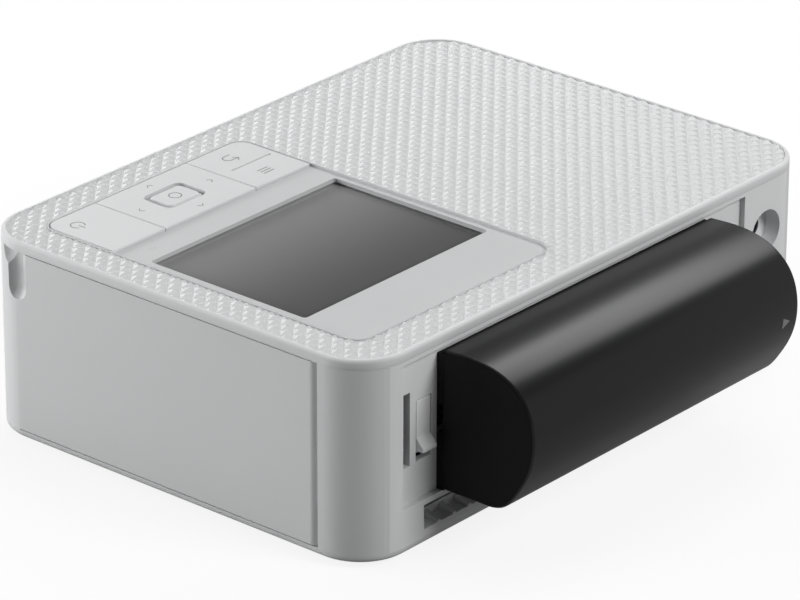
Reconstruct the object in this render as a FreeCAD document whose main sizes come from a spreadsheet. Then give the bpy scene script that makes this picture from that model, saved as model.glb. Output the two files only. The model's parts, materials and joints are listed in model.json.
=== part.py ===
import FreeCAD, Part
import math
import os
import re

import Sketcher

# Compact photo printer with its battery pack on the back.
# Printer space: x = 0 and y = 0 at the middle of the printer's case, z = 0 on the table, the front
# faces -Y and the rear +Y. Every piece is then moved by the same shift along Y, so that the origin
# of the finished part is the middle of its whole footprint, battery included.

Vector = FreeCAD.Vector
doc = FreeCAD.newDocument("PhotoPrinter")

# Driving dimensions in millimetres, angles in degrees
SIZES = {
    # case
    "case_width": 182.2,
    "case_depth": 133.0,
    "case_height": 57.6,
    "corner_radius": 14.2,
    "wall": 2.0,
    "foot_height": 1.4,
    "base_top": 3.5,
    "base_edge_radius": 1.6,
    "rim_height": 2.8,
    "top_edge_radius": 1.0,
    "top_plate": 1.8,
    "seam": 0.3,
    "floor_thickness": 1.5,
    "overrun": 5.0,
    "running_gap": 0.05,
    "free_gap": 0.3,
    "screw_shank_radius": 1.25,
    "screw_head_radius": 2.4,
    "screw_head_height": 1.5,
    "screw_length": 9.0,
    "post_radius": 3.2,
    "post_height": 11.0,
    "post_inset_x": 9.0,
    "post_inset_y": 17.0,
    # feet
    "foot_radius": 6.5,
    "foot_inset_x": 19.0,
    "foot_inset_y": 15.0,
    "foot_pocket": 0.5,
    # front fascia and bulkhead
    "fascia_depth": 11.6,
    "bulkhead_thickness": 1.7,
    "bay_centre_x": 5.5,
    "bay_width": 104.0,
    "bay_floor_lift": 1.0,
    "bay_height": 12.0,
    "bay_reach": 41.0,
    "bay_rail": 1.5,
    # front flap
    "flap_thickness": 2.0,
    "flap_barrel_radius": 1.6,
    "flap_pin_radius": 0.8,
    "flap_pin_grip": 2.6,
    "flap_notch_radius": 9.0,
    "flap_notch_depth": 2.2,
    # card slot
    "card_centre_x": -66.8,
    "card_slot_width": 25.2,
    "card_slot_height": 3.4,
    "card_slot_z": 36.5,
    "card_reader_depth": 24.0,
    "card_reader_wall": 1.6,
    # side door
    "door_front_inset": 13.3,
    "door_rear_inset": 16.3,
    "door_thickness": 2.0,
    "door_barrel_radius": 2.2,
    "door_pin_radius": 1.0,
    "door_pin_grip": 4.0,
    "door_pin_seat": 1.6,
    "door_rib": 1.2,
    "door_rib_depth": 1.4,
    "latch_width": 8.0,
    "latch_reach": 5.0,
    "notch_low": 41.0,
    "notch_radius": 3.6,
    "notch_depth": 2.6,
    "notch_flare_radius": 7.0,
    "notch_flare_shift": 1.8,
    "notch_liner": 1.4,
    # rear panel and battery bay
    "panel_inset": 9.8,
    "panel_thickness": 3.6,
    "bay_depth": 1.6,
    "bay_right": 77.0,
    "bay_left": -62.2,
    "bay_low": 14.0,
    "bay_high": 53.8,
    "trough_low": 5.6,
    "trough_high": 12.4,
    "trough_depth": 4.7,
    "trough_wall": 1.2,
    "trough_left": -58.0,
    "trough_right": 68.9,
    "slot_low": 8.1,
    "slot_high": 12.4,
    "vane_pitch": 6.0,
    "vane_thickness": 1.2,
    "vane_height": 1.9,
    "key_slot_left": 72.6,
    "key_slot_right": 75.4,
    "key_slot_low": 24.2,
    "key_slot_high": 44.6,
    "dc_x": -71.9,
    "dc_z": 40.5,
    "dc_radius": 6.1,
    "dc_depth": 4.7,
    "dc_barrel_radius": 2.9,
    "dc_pin_radius": 0.9,
    # battery release lever
    "lever_left": 64.4,
    "lever_right": 70.3,
    "lever_low": 24.6,
    "lever_high": 41.5,
    "lever_travel": 2.0,
    "lever_ledge_low": 27.4,
    "lever_ledge_high": 31.0,
    "lever_ledge_reach": 2.2,
    "lever_flange": 1.4,
    # battery
    "battery_right": 62.3,
    "battery_left": -51.6,
    "battery_depth": 31.3,
    "battery_low": 14.3,
    "battery_high": 53.5,
    "battery_wall": 1.8,
    "battery_base_depth": 2.4,
    "battery_travel": 9.5,
    "hook_width": 5.0,
    "hook_neck": 2.0,
    "hook_head": 3.6,
    "hook_thickness": 1.5,
    "hook_first_x": -36.0,
    "hook_pitch_x": 62.0,
    "hook_low_z": 22.0,
    "hook_pitch_z": 23.0,
    "terminal_left": 46.0,
    "terminal_low": 30.0,
    "terminal_high": 38.0,
    "terminal_blade": 0.8,
    "cell_radius": 8.2,
    "cell_length": 52.0,
    # control panel
    "well_left": 2.8,
    "well_right": 79.3,
    "well_front_inset": 11.6,
    "well_rear_inset": 12.6,
    "well_radius": 4.5,
    "key_field_rear": -29.4,
    "frame_drop": 0.9,
    "frame_thickness": 1.2,
    "window_left": 4.5,
    "window_right": 76.3,
    "window_front": -19.4,
    "window_rear": 33.5,
    "window_radius": 1.0,
    "glass_thickness": 1.0,
    "glass_lap": 1.0,
    "display_thickness": 3.6,
    "lamp_x": 69.8,
    "lamp_y": -24.7,
    "lamp_radius": 0.9,
    # keys
    "key_gap": 0.15,
    "key_split_left": 24.4,
    "key_split_right": 59.5,
    "key_thickness": 1.5,
    "key_travel": 0.6,
    "key_edge_radius": 0.35,
    "key_floor_drop": 2.7,
    "key_floor": 1.0,
    "stem_radius": 1.5,
    "stem_hole_gap": 0.5,
    "stem_gap": 0.7,
    "slit_y": -41.8,
    "slit_left": 5.0,
    "slit_right": 20.5,
    "slit_width": 0.7,
    "slit_depth": 0.9,
    "ok_well_left": 34.9,
    "ok_well_right": 49.7,
    "ok_well_front": -47.7,
    "ok_well_rear": -36.75,
    "ok_well_radius": 2.3,
    "ok_groove": 1.45,
    "ok_flange_drop": 0.9,
    "ring_thickness": 0.6,
    "ring_band": 1.2,
    "mat_thickness": 1.0,
    "board_thickness": 1.2,
    "switch_size": 4.0,
    "switch_height": 1.2,
    # print mechanism
    "left_plate_x": -52.0,
    "right_plate_x": 71.5,
    "plate_thickness": 1.2,
    "plate_front_inset": 13.5,
    "plate_rear_inset": 14.5,
    "plate_high": 47.6,
    "plate_foot": 5.0,
    "platen_z": 17.5,
    "platen_radius": 5.5,
    "platen_shaft_radius": 2.5,
    "capstan_y": 11.5,
    "capstan_z": 17.6,
    "capstan_radius": 3.0,
    "capstan_shaft_radius": 1.8,
    "pinch_radius": 2.0,
    "pinch_shaft_radius": 1.2,
    "pickup_y": -44.5,
    "pickup_z": 24.5,
    "pickup_radius": 6.5,
    "pickup_tyre_width": 16.0,
    "pickup_shaft_radius": 2.0,
    "roller_end_gap": 1.0,
    "shaft_stub": 2.6,
    "deck_thickness": 1.2,
    "guide_thickness": 1.0,
    # gears
    "gear_plane_x": -59.0,
    "gear_face": 3.0,
    "gear_module": 0.8,
    "gear_backlash": 0.16,
    "idler_y": 5.75,
    "idler_z": 28.55,
    "take_up_angle": 15.3,
    "motor_angle": 150.0,
    "motor_radius": 12.0,
    "motor_length": 24.0,
    "motor_shaft_radius": 1.0,
    "axle_radius": 1.0,
    "hub_radius": 2.4,
    "belt_plane_x": -54.0,
    "belt_width": 2.4,
    "belt_thickness": 0.9,
    "pulley_radius": 4.2,
    # ink cassette
    "cassette_left": -50.4,
    "cassette_right": 80.0,
    "cassette_cap": 2.4,
    "cassette_wall": 1.3,
    "supply_y": -22.0,
    "supply_z": 33.0,
    "supply_radius": 12.0,
    "take_up_radius": 11.0,
    "spool_radius": 5.0,
    "spool_bore": 2.6,
    "supply_roll_radius": 9.6,
    "take_up_roll_radius": 6.6,
    "roll_left": -42.0,
    "roll_right": 64.0,
    "end_bar_low": 28.3,
    "end_bar_high": 29.8,
    "end_bar_width": 3.0,
    "web_z": 23.3,
    "web_thickness": 0.2,
    "grip_height": 9.0,
    "grip_thickness": 2.4,
    "eject_lever_x": 76.3,
    "eject_lever_y": -46.0,
    "eject_lever_z": 33.0,
    "eject_lever_thickness": 2.0,
    "eject_lever_finger": 8.5,
    "eject_boss_radius": 2.6,
    "eject_pin_radius": 1.0,
    # print head
    "head_width": 108.0,
    "head_depth": 12.0,
    "head_low": 27.2,
    "head_height": 12.0,
    "head_fin_pitch": 3.0,
    "bracket_low": 46.8,
    "bracket_thickness": 1.2,
    "head_pivot_inset": 22.5,
    "head_pivot_z": 44.0,
    "head_shaft_radius": 1.5,
    "head_ear_radius": 3.0,
    # electronics
    "main_board_left": -84.0,
    "main_board_right": -5.0,
    "board_front_inset": 16.5,
    "board_rear_inset": 22.5,
    "main_board_z": 49.4,
    "usb_y": 30.0,
    "usb_z": 14.0,
    "usb_width": 12.0,
    "usb_height": 10.9,
    "usb_length": 15.0,
    # cooling slots
    "vent_first_y": -38.0,
    "vent_pitch": 5.0,
    "vent_width": 2.0,
    "vent_low": 24.0,
    "vent_high": 44.0,
    "battery_edge_radius": 1.2,
}

# Places that keep their distance from the case's walls when the case changes
PLACES = {
    "panel_half_width": "=case_width / 2 - panel_inset",
    "door_front": "=door_front_inset - case_depth / 2",
    "door_rear": "=case_depth / 2 - door_rear_inset",
    "well_front": "=well_front_inset - case_depth / 2",
    "well_rear": "=case_depth / 2 - well_rear_inset",
    "plate_front": "=plate_front_inset - case_depth / 2",
    "plate_rear": "=case_depth / 2 - plate_rear_inset",
    "head_pivot_y": "=case_depth / 2 - head_pivot_inset",
    "main_board_front": "=board_front_inset - case_depth / 2",
    "main_board_rear": "=case_depth / 2 - board_rear_inset",
}

sheet = doc.addObject("Spreadsheet::Sheet", "Sizes")
for row, (alias, size) in enumerate({**SIZES, **PLACES}.items(), 1):
    sheet.set(f"A{row}", alias)
    sheet.set(f"B{row}", str(size))
    sheet.setAlias(f"B{row}", alias)
doc.recompute()

# Teeth of the gears
MOTOR_TEETH = 10
IDLER_TEETH = 20
PLATEN_TEETH = 11
CAPSTAN_TEETH = 11
TAKE_UP_TEETH = 32

# Places that several pieces share, written in the sheet's names
HALF = "(case_width / 2)"
REAR = "(case_depth / 2)"
FRONT = "(-case_depth / 2)"
RIM_LOW = "(case_height - rim_height)"
PLATE_LOW = "(case_height - top_plate)"
FLOOR_TOP = "(base_top + floor_thickness)"
BULKHEAD_FRONT = f"({FRONT} + fascia_depth)"
BULKHEAD_REAR = f"({BULKHEAD_FRONT} + bulkhead_thickness)"
PANEL_INNER = f"({REAR} - panel_thickness)"
BAY_FACE = f"({REAR} - bay_depth)"
BAY_LEFT = "(bay_centre_x - bay_width / 2)"
BAY_RIGHT = "(bay_centre_x + bay_width / 2)"
BAY_LOW = f"({FLOOR_TOP} + bay_floor_lift)"
BAY_HIGH = f"({BAY_LOW} + bay_height)"
BAY_END = f"({BULKHEAD_REAR} + bay_reach)"
DOOR_INNER = f"({HALF} - door_thickness)"
DOOR_PIN_X = f"({HALF} - door_barrel_radius)"
DOOR_PIN_Y = "(door_rear - door_barrel_radius)"
FLAP_PIN_Y = f"({FRONT} + flap_barrel_radius)"
FLAP_PIN_Z = f"({BAY_LOW} + free_gap + flap_barrel_radius)"
FRAME_TOP = "(case_height - frame_drop)"
GLASS_TOP = f"({FRAME_TOP} - frame_thickness)"
DISPLAY_TOP = f"({GLASS_TOP} - glass_thickness)"
KEY_LOW = "(case_height - key_thickness)"
KEY_FLOOR_TOP = "(case_height - key_floor_drop)"
KEY_FLOOR_LOW = f"({KEY_FLOOR_TOP} - key_floor)"
MAT_LOW = f"({KEY_FLOOR_LOW} - mat_thickness)"
BOARD_TOP = f"({MAT_LOW} - switch_height)"
BOARD_LOW = f"({BOARD_TOP} - board_thickness)"
SHIFT_Y = "(-(battery_depth - bay_depth) / 2)"

# Gear train: each axis is placed from the one it meshes with
IDLER_R = f"(gear_module * {IDLER_TEETH} / 2)"
TAKE_UP_GEAR_R = f"(gear_module * {TAKE_UP_TEETH} / 2)"
MOTOR_GEAR_R = f"(gear_module * {MOTOR_TEETH} / 2)"
TAKE_UP_Y = f"(idler_y + ({IDLER_R} + {TAKE_UP_GEAR_R}) * cos(take_up_angle))"
TAKE_UP_Z = f"(idler_z + ({IDLER_R} + {TAKE_UP_GEAR_R}) * sin(take_up_angle))"
MOTOR_Y = f"(idler_y + ({IDLER_R} + {MOTOR_GEAR_R}) * cos(motor_angle))"
MOTOR_Z = f"(idler_z + ({IDLER_R} + {MOTOR_GEAR_R}) * sin(motor_angle))"

SIZE_NAME = re.compile(r"\b([a-z][a-z0-9_]*)\b(?!\()")


def linked(text):
    """The expression with every size name pointed at the sheet."""
    return SIZE_NAME.sub(r"Sizes.\1", str(text))


def value(text):
    """What an expression comes to, as a number."""
    return float(sheet.evalExpression(linked(text)))


def bind(item, **links):
    """Bind properties to expressions; two underscores in a name stand for a dot."""
    for name, text in links.items():
        item.setExpression(name.replace("__", "."), linked(text))
    return item


counter = {}


def fresh(stem):
    """A name for the next helper object of a kind."""
    counter[stem] = counter.get(stem, 0) + 1
    return f"{stem}{counter[stem]:03d}"


home_y = {}


def block(x, y, z):
    """A box between two limits on each axis."""
    box = doc.addObject("Part::Box", fresh("Block"))
    bind(box, Length=f"({x[1]}) - ({x[0]})", Width=f"({y[1]}) - ({y[0]})", Height=f"({z[1]}) - ({z[0]})",
         Placement__Base__x=x[0], Placement__Base__y=y[0], Placement__Base__z=z[0])
    home_y[box.Name] = y[0]
    return box


TURN = {
    "X": FreeCAD.Rotation(Vector(0, 1, 0), 90),
    "Y": FreeCAD.Rotation(Vector(1, 0, 0), -90),
    "Z": FreeCAD.Rotation(),
}


def rod(axis, centre, radius, span):
    """A cylinder along an axis; centre gives its other two coordinates in x, y, z order."""
    places = list(centre)
    places.insert("XYZ".index(axis), span[0])
    cylinder = doc.addObject("Part::Cylinder", fresh("Rod"))
    cylinder.Placement = FreeCAD.Placement(Vector(), TURN[axis])
    bind(cylinder, Radius=radius, Height=f"({span[1]}) - ({span[0]})",
         Placement__Base__x=places[0], Placement__Base__y=places[1], Placement__Base__z=places[2])
    home_y[cylinder.Name] = places[1]
    return cylinder


def fuse(*items):
    """One solid out of several."""
    union = doc.addObject("Part::MultiFuse", fresh("Union"))
    union.Shapes = list(items)
    union.Refine = True
    return union


def group(*items):
    """Solids that stay apart in one piece, such as a set of screws."""
    together = doc.addObject("Part::Compound", fresh("Group"))
    together.Links = list(items)
    return together


def cut(base, *tools):
    """A solid less the tools."""
    tool = tools[0] if len(tools) == 1 else fuse(*tools)
    rest = doc.addObject("Part::Cut", fresh("Cut"))
    rest.Base = base
    rest.Tool = tool
    rest.Refine = True
    return rest


def common(one, other):
    """What two solids share."""
    shared = doc.addObject("Part::Common", fresh("Common"))
    shared.Base = one
    shared.Tool = other
    shared.Refine = True
    return shared


def origin_plane(body, role):
    """One of a body's own origin planes."""
    return next(item for item in body.Origin.OriginFeatures if item.Role == role)


# Plane of a sketch: which way its normal points along the axis that the pad follows
PLANES = {"XY": ("XY_Plane", 1), "YZ": ("YZ_Plane", 1), "XZ": ("XZ_Plane", -1)}


def start_body(name, plane, low, high):
    """A body with an empty sketch on one of its planes, at the end that the pad starts from."""
    role, way = PLANES[plane]
    body = doc.addObject("PartDesign::Body", fresh(name))
    sketch = body.newObject("Sketcher::SketchObject", body.Name + "_sketch")
    sketch.AttachmentSupport = [(origin_plane(body, role), "")]
    sketch.MapMode = "FlatFace"
    start = low if way > 0 else f"-({high})"
    bind(sketch, AttachmentOffset__Base__z=start)
    return body, sketch


def pad(body, sketch, low, high):
    """Pad a body's sketch from low to high."""
    feature = body.newObject("PartDesign::Pad", body.Name + "_pad")
    feature.Profile = sketch
    bind(feature, Length=f"({high}) - ({low})")
    sketch.Visibility = False
    return feature


def fix_point(sketch, geometry, point, place):
    """Dimension a point of a sketch from the origin, both ways."""
    for kind, text in zip(("DistanceX", "DistanceY"), place):
        index = sketch.addConstraint(Sketcher.Constraint(kind, -1, 1, geometry, point, value(text)))
        sketch.setExpression(f"Constraints[{index}]", linked(text))


def slab(x, y, z, radius=None):
    """A plate with an outline of four sides, its upright corners rounded."""
    body, sketch = start_body("Slab", "XY", z[0], z[1])
    low = Vector(value(x[0]), value(y[0]), 0)
    high = Vector(value(x[1]), value(y[1]), 0)
    corners = [low, Vector(high.x, low.y, 0), high, Vector(low.x, high.y, 0)]
    for here, there in zip(corners, corners[1:] + corners[:1]):
        sketch.addGeometry(Part.LineSegment(here, there))
    for side in range(4):
        sketch.addConstraint(Sketcher.Constraint("Coincident", side, 2, (side + 1) % 4, 1))
        sketch.addConstraint(Sketcher.Constraint("Vertical" if side % 2 else "Horizontal", side))
    fix_point(sketch, 0, 1, (x[0], y[0]))
    fix_point(sketch, 2, 1, (x[1], y[1]))
    feature = pad(body, sketch, z[0], z[1])
    doc.recompute()
    if radius is not None:
        upright = [f"Edge{n}" for n, edge in enumerate(feature.Shape.Edges, 1) if along(edge, "Z")]
        corner = body.newObject("PartDesign::Fillet", body.Name + "_corners")
        corner.Base = (feature, upright)
        bind(corner, Radius=radius)
    home_y[body.Name] = "0"
    return body


def profile(plane, path, low, high):
    """A prism whose outline is a path of corners; a corner that starts with "via" bends the side
    before the next corner into an arc through it."""
    body, sketch = start_body("Profile", plane, low, high)
    corners = [step for step in path if step[0] != "via"]
    bends = {}
    count = 0
    for step in path:
        if step[0] == "via":
            bends[count - 1] = step[1:]
        else:
            count += 1
    spots = [Vector(value(a), value(b), 0) for a, b in corners]
    ends = []
    for side, here in enumerate(spots):
        there = spots[(side + 1) % len(spots)]
        if side in bends:
            middle = Vector(value(bends[side][0]), value(bends[side][1]), 0)
            leftward = (middle - here).cross(there - middle).z > 0
            first, last = (here, there) if leftward else (there, here)
            number = sketch.addGeometry(Part.Arc(first, middle, last))
            ends.append((number, 1, 2) if leftward else (number, 2, 1))
            dot = sketch.addGeometry(Part.Point(middle), True)
            fix_point(sketch, dot, 1, bends[side])
            sketch.addConstraint(Sketcher.Constraint("PointOnObject", dot, 1, number))
        else:
            ends.append((sketch.addGeometry(Part.LineSegment(here, there)), 1, 2))
    for side, (number, first, last) in enumerate(ends):
        follower = ends[(side + 1) % len(ends)]
        sketch.addConstraint(Sketcher.Constraint("Coincident", number, last, follower[0], follower[1]))
        fix_point(sketch, number, first, corners[side])
    pad(body, sketch, low, high)
    home_y[body.Name] = "0"
    return body


def along(edge, axis):
    """True for a straight edge parallel to an axis."""
    spread = edge.BoundBox
    sizes = {"X": spread.XLength, "Y": spread.YLength, "Z": spread.ZLength}
    length = sizes.pop(axis)
    return length > max(sizes.values()) * 1000 and edge.Curve.TypeId == "Part::GeomLine"


def at(axis, text):
    """A test for edges that lie in the plane where an axis has one value."""
    place = value(text)
    near = value("running_gap") / 10

    def test(edge):
        spread = edge.BoundBox
        low, high = {"X": (spread.XMin, spread.XMax), "Y": (spread.YMin, spread.YMax),
                     "Z": (spread.ZMin, spread.ZMax)}[axis]
        return abs(low - place) < near and abs(high - place) < near
    return test


def round_edges(item, radius, *tests):
    """Round the edges of a solid that pass every test."""
    doc.recompute()
    size = value(radius)
    chosen = [(number, size, size) for number, edge in enumerate(item.Shape.Edges, 1)
              if all(test(edge) for test in tests)]
    rounded = doc.addObject("Part::Fillet", fresh("Round"))
    rounded.Base = item
    rounded.Edges = chosen
    return rounded


nodes = {}


def piece(item, name):
    """Finish a piece: its label names its file, and it moves with the whole part's origin."""
    item.Label = name
    own = home_y.get(item.Name, "0")
    bind(item, Placement__Base__y=f"({own}) + {SHIFT_Y}")
    nodes[name] = item
    return item


def outline(inset, low, high):
    """The case's outline, drawn in by an inset, between two heights."""
    inset = f"({inset})"
    return slab((f"-{HALF} + {inset}", f"{HALF} - {inset}"),
                (f"{FRONT} + {inset}", f"{REAR} - {inset}"), (low, high), f"corner_radius - {inset}")


def ring_wall(thickness, low, high):
    """The case's outer wall all the way round."""
    return cut(outline("0", low, high),
               outline(thickness, f"{low} - overrun", f"{high} + overrun"))


def mirrored(*values):
    """The same place on both sides of the middle."""
    return [sign + text for text in values for sign in ("-", "")]


POST_X = f"({HALF} - post_inset_x)"
POST_Y = f"({REAR} - post_inset_y)"
POSTS = [(f"-{POST_X}", f"-{POST_Y} + bulkhead_thickness"), (POST_X, f"-{POST_Y} + bulkhead_thickness"),
         (f"-{POST_X}", POST_Y), (POST_X, f"{POST_Y} + bulkhead_thickness * 3")]
FEET = [(x, y) for x in mirrored(f"({HALF} - foot_inset_x)") for y in mirrored(f"({REAR} - foot_inset_y)")]


# Case


def make_base_plate():
    """The bottom cover: rounded lower edge, the paper bay's sill, pockets for the feet, screw holes."""
    plate = outline("0", "foot_height", "base_top")
    plate = round_edges(plate, "base_edge_radius", at("Z", "foot_height"))
    sill = block((f"{BAY_LEFT} + seam", f"{BAY_RIGHT} - seam"), (FRONT, f"{BULKHEAD_FRONT} - seam"),
                 ("base_top - seam", BAY_LOW))
    plate = fuse(plate, sill)
    tools = [rod("Z", spot, "foot_radius + free_gap", ("foot_height - overrun", "foot_height + foot_pocket"))
             for spot in FEET]
    for spot in POSTS:
        tools.append(rod("Z", spot, "screw_shank_radius + free_gap", ("0", "base_top + overrun")))
        tools.append(rod("Z", spot, "screw_head_radius + free_gap",
                         ("0", "foot_height + screw_head_height")))
    tools.append(rod("Z", (DOOR_PIN_X, DOOR_PIN_Y), "door_pin_radius",
                     ("base_top - door_pin_seat", "base_top + overrun")))
    return cut(plate, *tools)


def make_feet():
    """Four rubber feet seated in the base's pockets."""
    feet = []
    for spot in FEET:
        feet.append(rod("Z", spot, "foot_radius", ("0", "foot_height + foot_pocket")))
    return group(*feet)


def make_case_screws():
    """Four screws through the base into the posts."""
    screws = []
    for spot in POSTS:
        head_top = "(foot_height + screw_head_height)"
        head = rod("Z", spot, "screw_head_radius", (f"{head_top} - screw_head_height * 0.8", head_top))
        shank = rod("Z", spot, "screw_shank_radius", (head_top, f"{head_top} + screw_length"))
        screws.append(fuse(head, shank))
    return group(*screws)


def ball(centre, radius):
    """A ball at a point."""
    ball = doc.addObject("Part::Sphere", fresh("Ball"))
    bind(ball, Radius=radius, Placement__Base__x=centre[0], Placement__Base__y=centre[1],
         Placement__Base__z=centre[2])
    return ball


def finger_notch():
    """The fingertip's recess across the door's front edge: an upright groove, wider at its top."""
    x = f"{HALF} + notch_radius - notch_depth"
    low = "notch_low + notch_radius"
    shaft = rod("Z", (x, "door_front"), "notch_radius", (low, f"{RIM_LOW} + overrun"))
    bowl = ball((x, "door_front", low), "notch_radius")
    flare = ball((f"{HALF} + notch_flare_radius - notch_depth", "door_front - notch_flare_shift", RIM_LOW),
                 "notch_flare_radius")
    return fuse(shaft, bowl, flare)


def notch_liner(span_y):
    """The thicker wall behind the fingertip's recess."""
    return block((f"{HALF} - notch_depth - notch_liner", f"{HALF} - wall * 0.8"), span_y,
                 ("notch_low - notch_liner", f"{RIM_LOW} - seam"))


def make_main_case():
    """The chassis shell: floor, left wall, rear right corner, front bulkhead and screw posts."""
    wall = ring_wall("wall", "base_top", RIM_LOW)
    tools = [
        block((f"-{HALF} - overrun", f"{HALF} + overrun"), (f"{FRONT} - overrun", BULKHEAD_FRONT),
              ("0", "case_height")),
        block(("-panel_half_width", "panel_half_width"), (f"{PANEL_INNER} - wall", f"{REAR} + overrun"),
              ("0", "case_height")),
        block((f"{HALF} - wall * 3", f"{HALF} + overrun"), (BULKHEAD_REAR, "door_rear + free_gap"),
              ("0", "case_height")),
    ]
    shell = cut(wall, *tools)
    inner = "(wall - running_gap)"
    floor = common(outline("wall", "base_top", FLOOR_TOP),
                   block((f"-{HALF}", f"{HALF} - wall - free_gap"),
                         (BULKHEAD_FRONT, f"{REAR} - trough_depth - trough_wall - free_gap"),
                         ("0", "case_height")))
    bulkhead = common(outline("0", "base_top", RIM_LOW),
                      block((f"-{HALF}", HALF), (BULKHEAD_FRONT, BULKHEAD_REAR), ("0", "case_height")))
    corner = common(outline("wall", "base_top", RIM_LOW),
                    block(("panel_half_width", HALF), ("door_rear + free_gap", f"{PANEL_INNER} - free_gap"),
                          ("0", "case_height")))
    corner = cut(corner, outline(f"{inner} + wall", FLOOR_TOP, "case_height"))
    rails = [block((f"{BAY_LEFT} - bay_rail * 2", f"{BAY_LEFT} - bay_rail"), (BULKHEAD_REAR, BAY_END),
                   ("base_top", BAY_HIGH)),
             block((f"{BAY_RIGHT} + bay_rail", f"{BAY_RIGHT} + bay_rail * 2"), (BULKHEAD_REAR, BAY_END),
                   ("base_top", BAY_HIGH))]
    posts = [rod("Z", spot, "post_radius", ("base_top", "base_top + post_height")) for spot in POSTS]
    body = fuse(shell, floor, bulkhead, corner, *rails, *posts)
    holes = [rod("Z", spot, "screw_shank_radius", ("0", "foot_height + screw_head_height + screw_length"))
             for spot in POSTS]
    holes.append(block((BAY_LEFT, BAY_RIGHT), (f"{BULKHEAD_FRONT} - overrun", f"{BULKHEAD_REAR} + overrun"),
                       (BAY_LOW, BAY_HIGH)))
    holes.append(card_path("(card_reader_wall + free_gap)"))
    holes.append(block((f"-{HALF} - overrun", f"-{HALF} + wall + overrun"),
                       ("usb_y - usb_width / 2 - free_gap", "usb_y + usb_width / 2 + free_gap"),
                       ("usb_z - usb_height / 2 - free_gap", "usb_z + usb_height / 2 + free_gap")))
    holes.append(block(("well_left - free_gap", "well_right + free_gap"),
                       (f"{BULKHEAD_FRONT} - overrun", f"{BULKHEAD_REAR} + overrun"),
                       (f"{BOARD_LOW} - free_gap", "case_height")))
    holes.append(rod("Z", (DOOR_PIN_X, DOOR_PIN_Y), "door_barrel_radius + free_gap", ("0", "case_height")))
    holes.extend(side_vents())
    holes.append(finger_notch())
    return cut(body, *holes)


def card_path(margin):
    """The way of a memory card through the front, with a margin all round."""
    return block((f"card_centre_x - card_slot_width / 2 - {margin}",
                  f"card_centre_x + card_slot_width / 2 + {margin}"),
                 (f"{BULKHEAD_FRONT} - wall * 2", f"{BULKHEAD_REAR} + overrun"),
                 (f"card_slot_z - card_slot_height / 2 - {margin}",
                  f"card_slot_z + card_slot_height / 2 + {margin}"))


VENTS = 9


def side_vents():
    """A row of upright cooling slots through the left wall."""
    slots = []
    for number in range(VENTS):
        middle = f"(vent_first_y + vent_pitch * {number})"
        slots.append(block((f"-{HALF} - overrun", f"-{HALF} + wall + overrun"),
                           (f"{middle} - vent_width / 2", f"{middle} + vent_width / 2"),
                           ("vent_low", "vent_high")))
    return slots


def make_front_fascia():
    """The front shell, with the paper bay's mouth and the card slot."""
    shell = common(ring_wall("wall", "base_top", RIM_LOW),
                   block((f"-{HALF}", HALF), (FRONT, BULKHEAD_FRONT), ("0", "case_height")))
    side = "wall"
    frame = block((f"{BAY_LEFT} - {side}", f"{BAY_RIGHT} + {side}"), (f"{FRONT} + wall", BULKHEAD_FRONT),
                  ("base_top", f"{BAY_HIGH} + {side}"))
    reader = block(("card_centre_x - card_slot_width / 2 - wall",
                    "card_centre_x + card_slot_width / 2 + wall"),
                   (f"{FRONT} + wall", f"{FRONT} + wall * 2"),
                   ("card_slot_z - card_slot_height / 2 - wall", "card_slot_z + card_slot_height / 2 + wall"))
    liner = notch_liner((f"{BULKHEAD_FRONT} - notch_radius", BULKHEAD_FRONT))
    solid = fuse(shell, frame, reader, liner)
    slot = block(("card_centre_x - card_slot_width / 2", "card_centre_x + card_slot_width / 2"),
                 (f"{FRONT} - overrun", f"{BULKHEAD_FRONT} + overrun"),
                 ("card_slot_z - card_slot_height / 2", "card_slot_z + card_slot_height / 2"))
    mouth = block((BAY_LEFT, BAY_RIGHT), (f"{FRONT} - overrun", f"{BULKHEAD_FRONT} + overrun"),
                  ("base_top - overrun", BAY_HIGH))
    pins = [rod("X", (FLAP_PIN_Y, FLAP_PIN_Z), "flap_pin_radius",
                (f"{BAY_LEFT} - flap_pin_grip / 2", BAY_LEFT)),
            rod("X", (FLAP_PIN_Y, FLAP_PIN_Z), "flap_pin_radius",
                (BAY_RIGHT, f"{BAY_RIGHT} + flap_pin_grip / 2"))]
    return cut(solid, slot, mouth, finger_notch(), *pins)


def make_front_flap():
    """The cover of the paper bay: a panel on a round bottom edge, ribs inside, a thumb dip on top."""
    sides = (f"{BAY_LEFT} + free_gap", f"{BAY_RIGHT} - free_gap")
    top = f"({BAY_HIGH} - free_gap)"
    panel = block(sides, (FRONT, f"{FRONT} + flap_thickness"), (FLAP_PIN_Z, top))
    barrel = rod("X", (FLAP_PIN_Y, FLAP_PIN_Z), "flap_barrel_radius", sides)
    ribs = [block((x, f"{x} + door_rib"), (FRONT, f"{FRONT} + flap_thickness + door_rib_depth"),
                  (f"{FLAP_PIN_Z} + flap_barrel_radius * 2", f"{top} - flap_notch_depth * 1.5"))
            for x in (f"({BAY_LEFT} + bay_width * {share})" for share in FLAP_RIB_SHARES)]
    dip = rod("Y", ("bay_centre_x", f"{top} + flap_notch_radius - flap_notch_depth"), "flap_notch_radius",
              (f"{FRONT} - overrun", f"{FRONT} + overrun"))
    bores = [rod("X", (FLAP_PIN_Y, FLAP_PIN_Z), "flap_pin_radius + running_gap", span)
             for span in ((f"{sides[0]} - overrun", f"{sides[0]} + flap_pin_grip"),
                          (f"{sides[1]} - flap_pin_grip", f"{sides[1]} + overrun"))]
    return cut(fuse(panel, barrel, *ribs), dip, *bores)


FLAP_RIB_SHARES = (0.1, 0.3, 0.7, 0.9)


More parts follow.
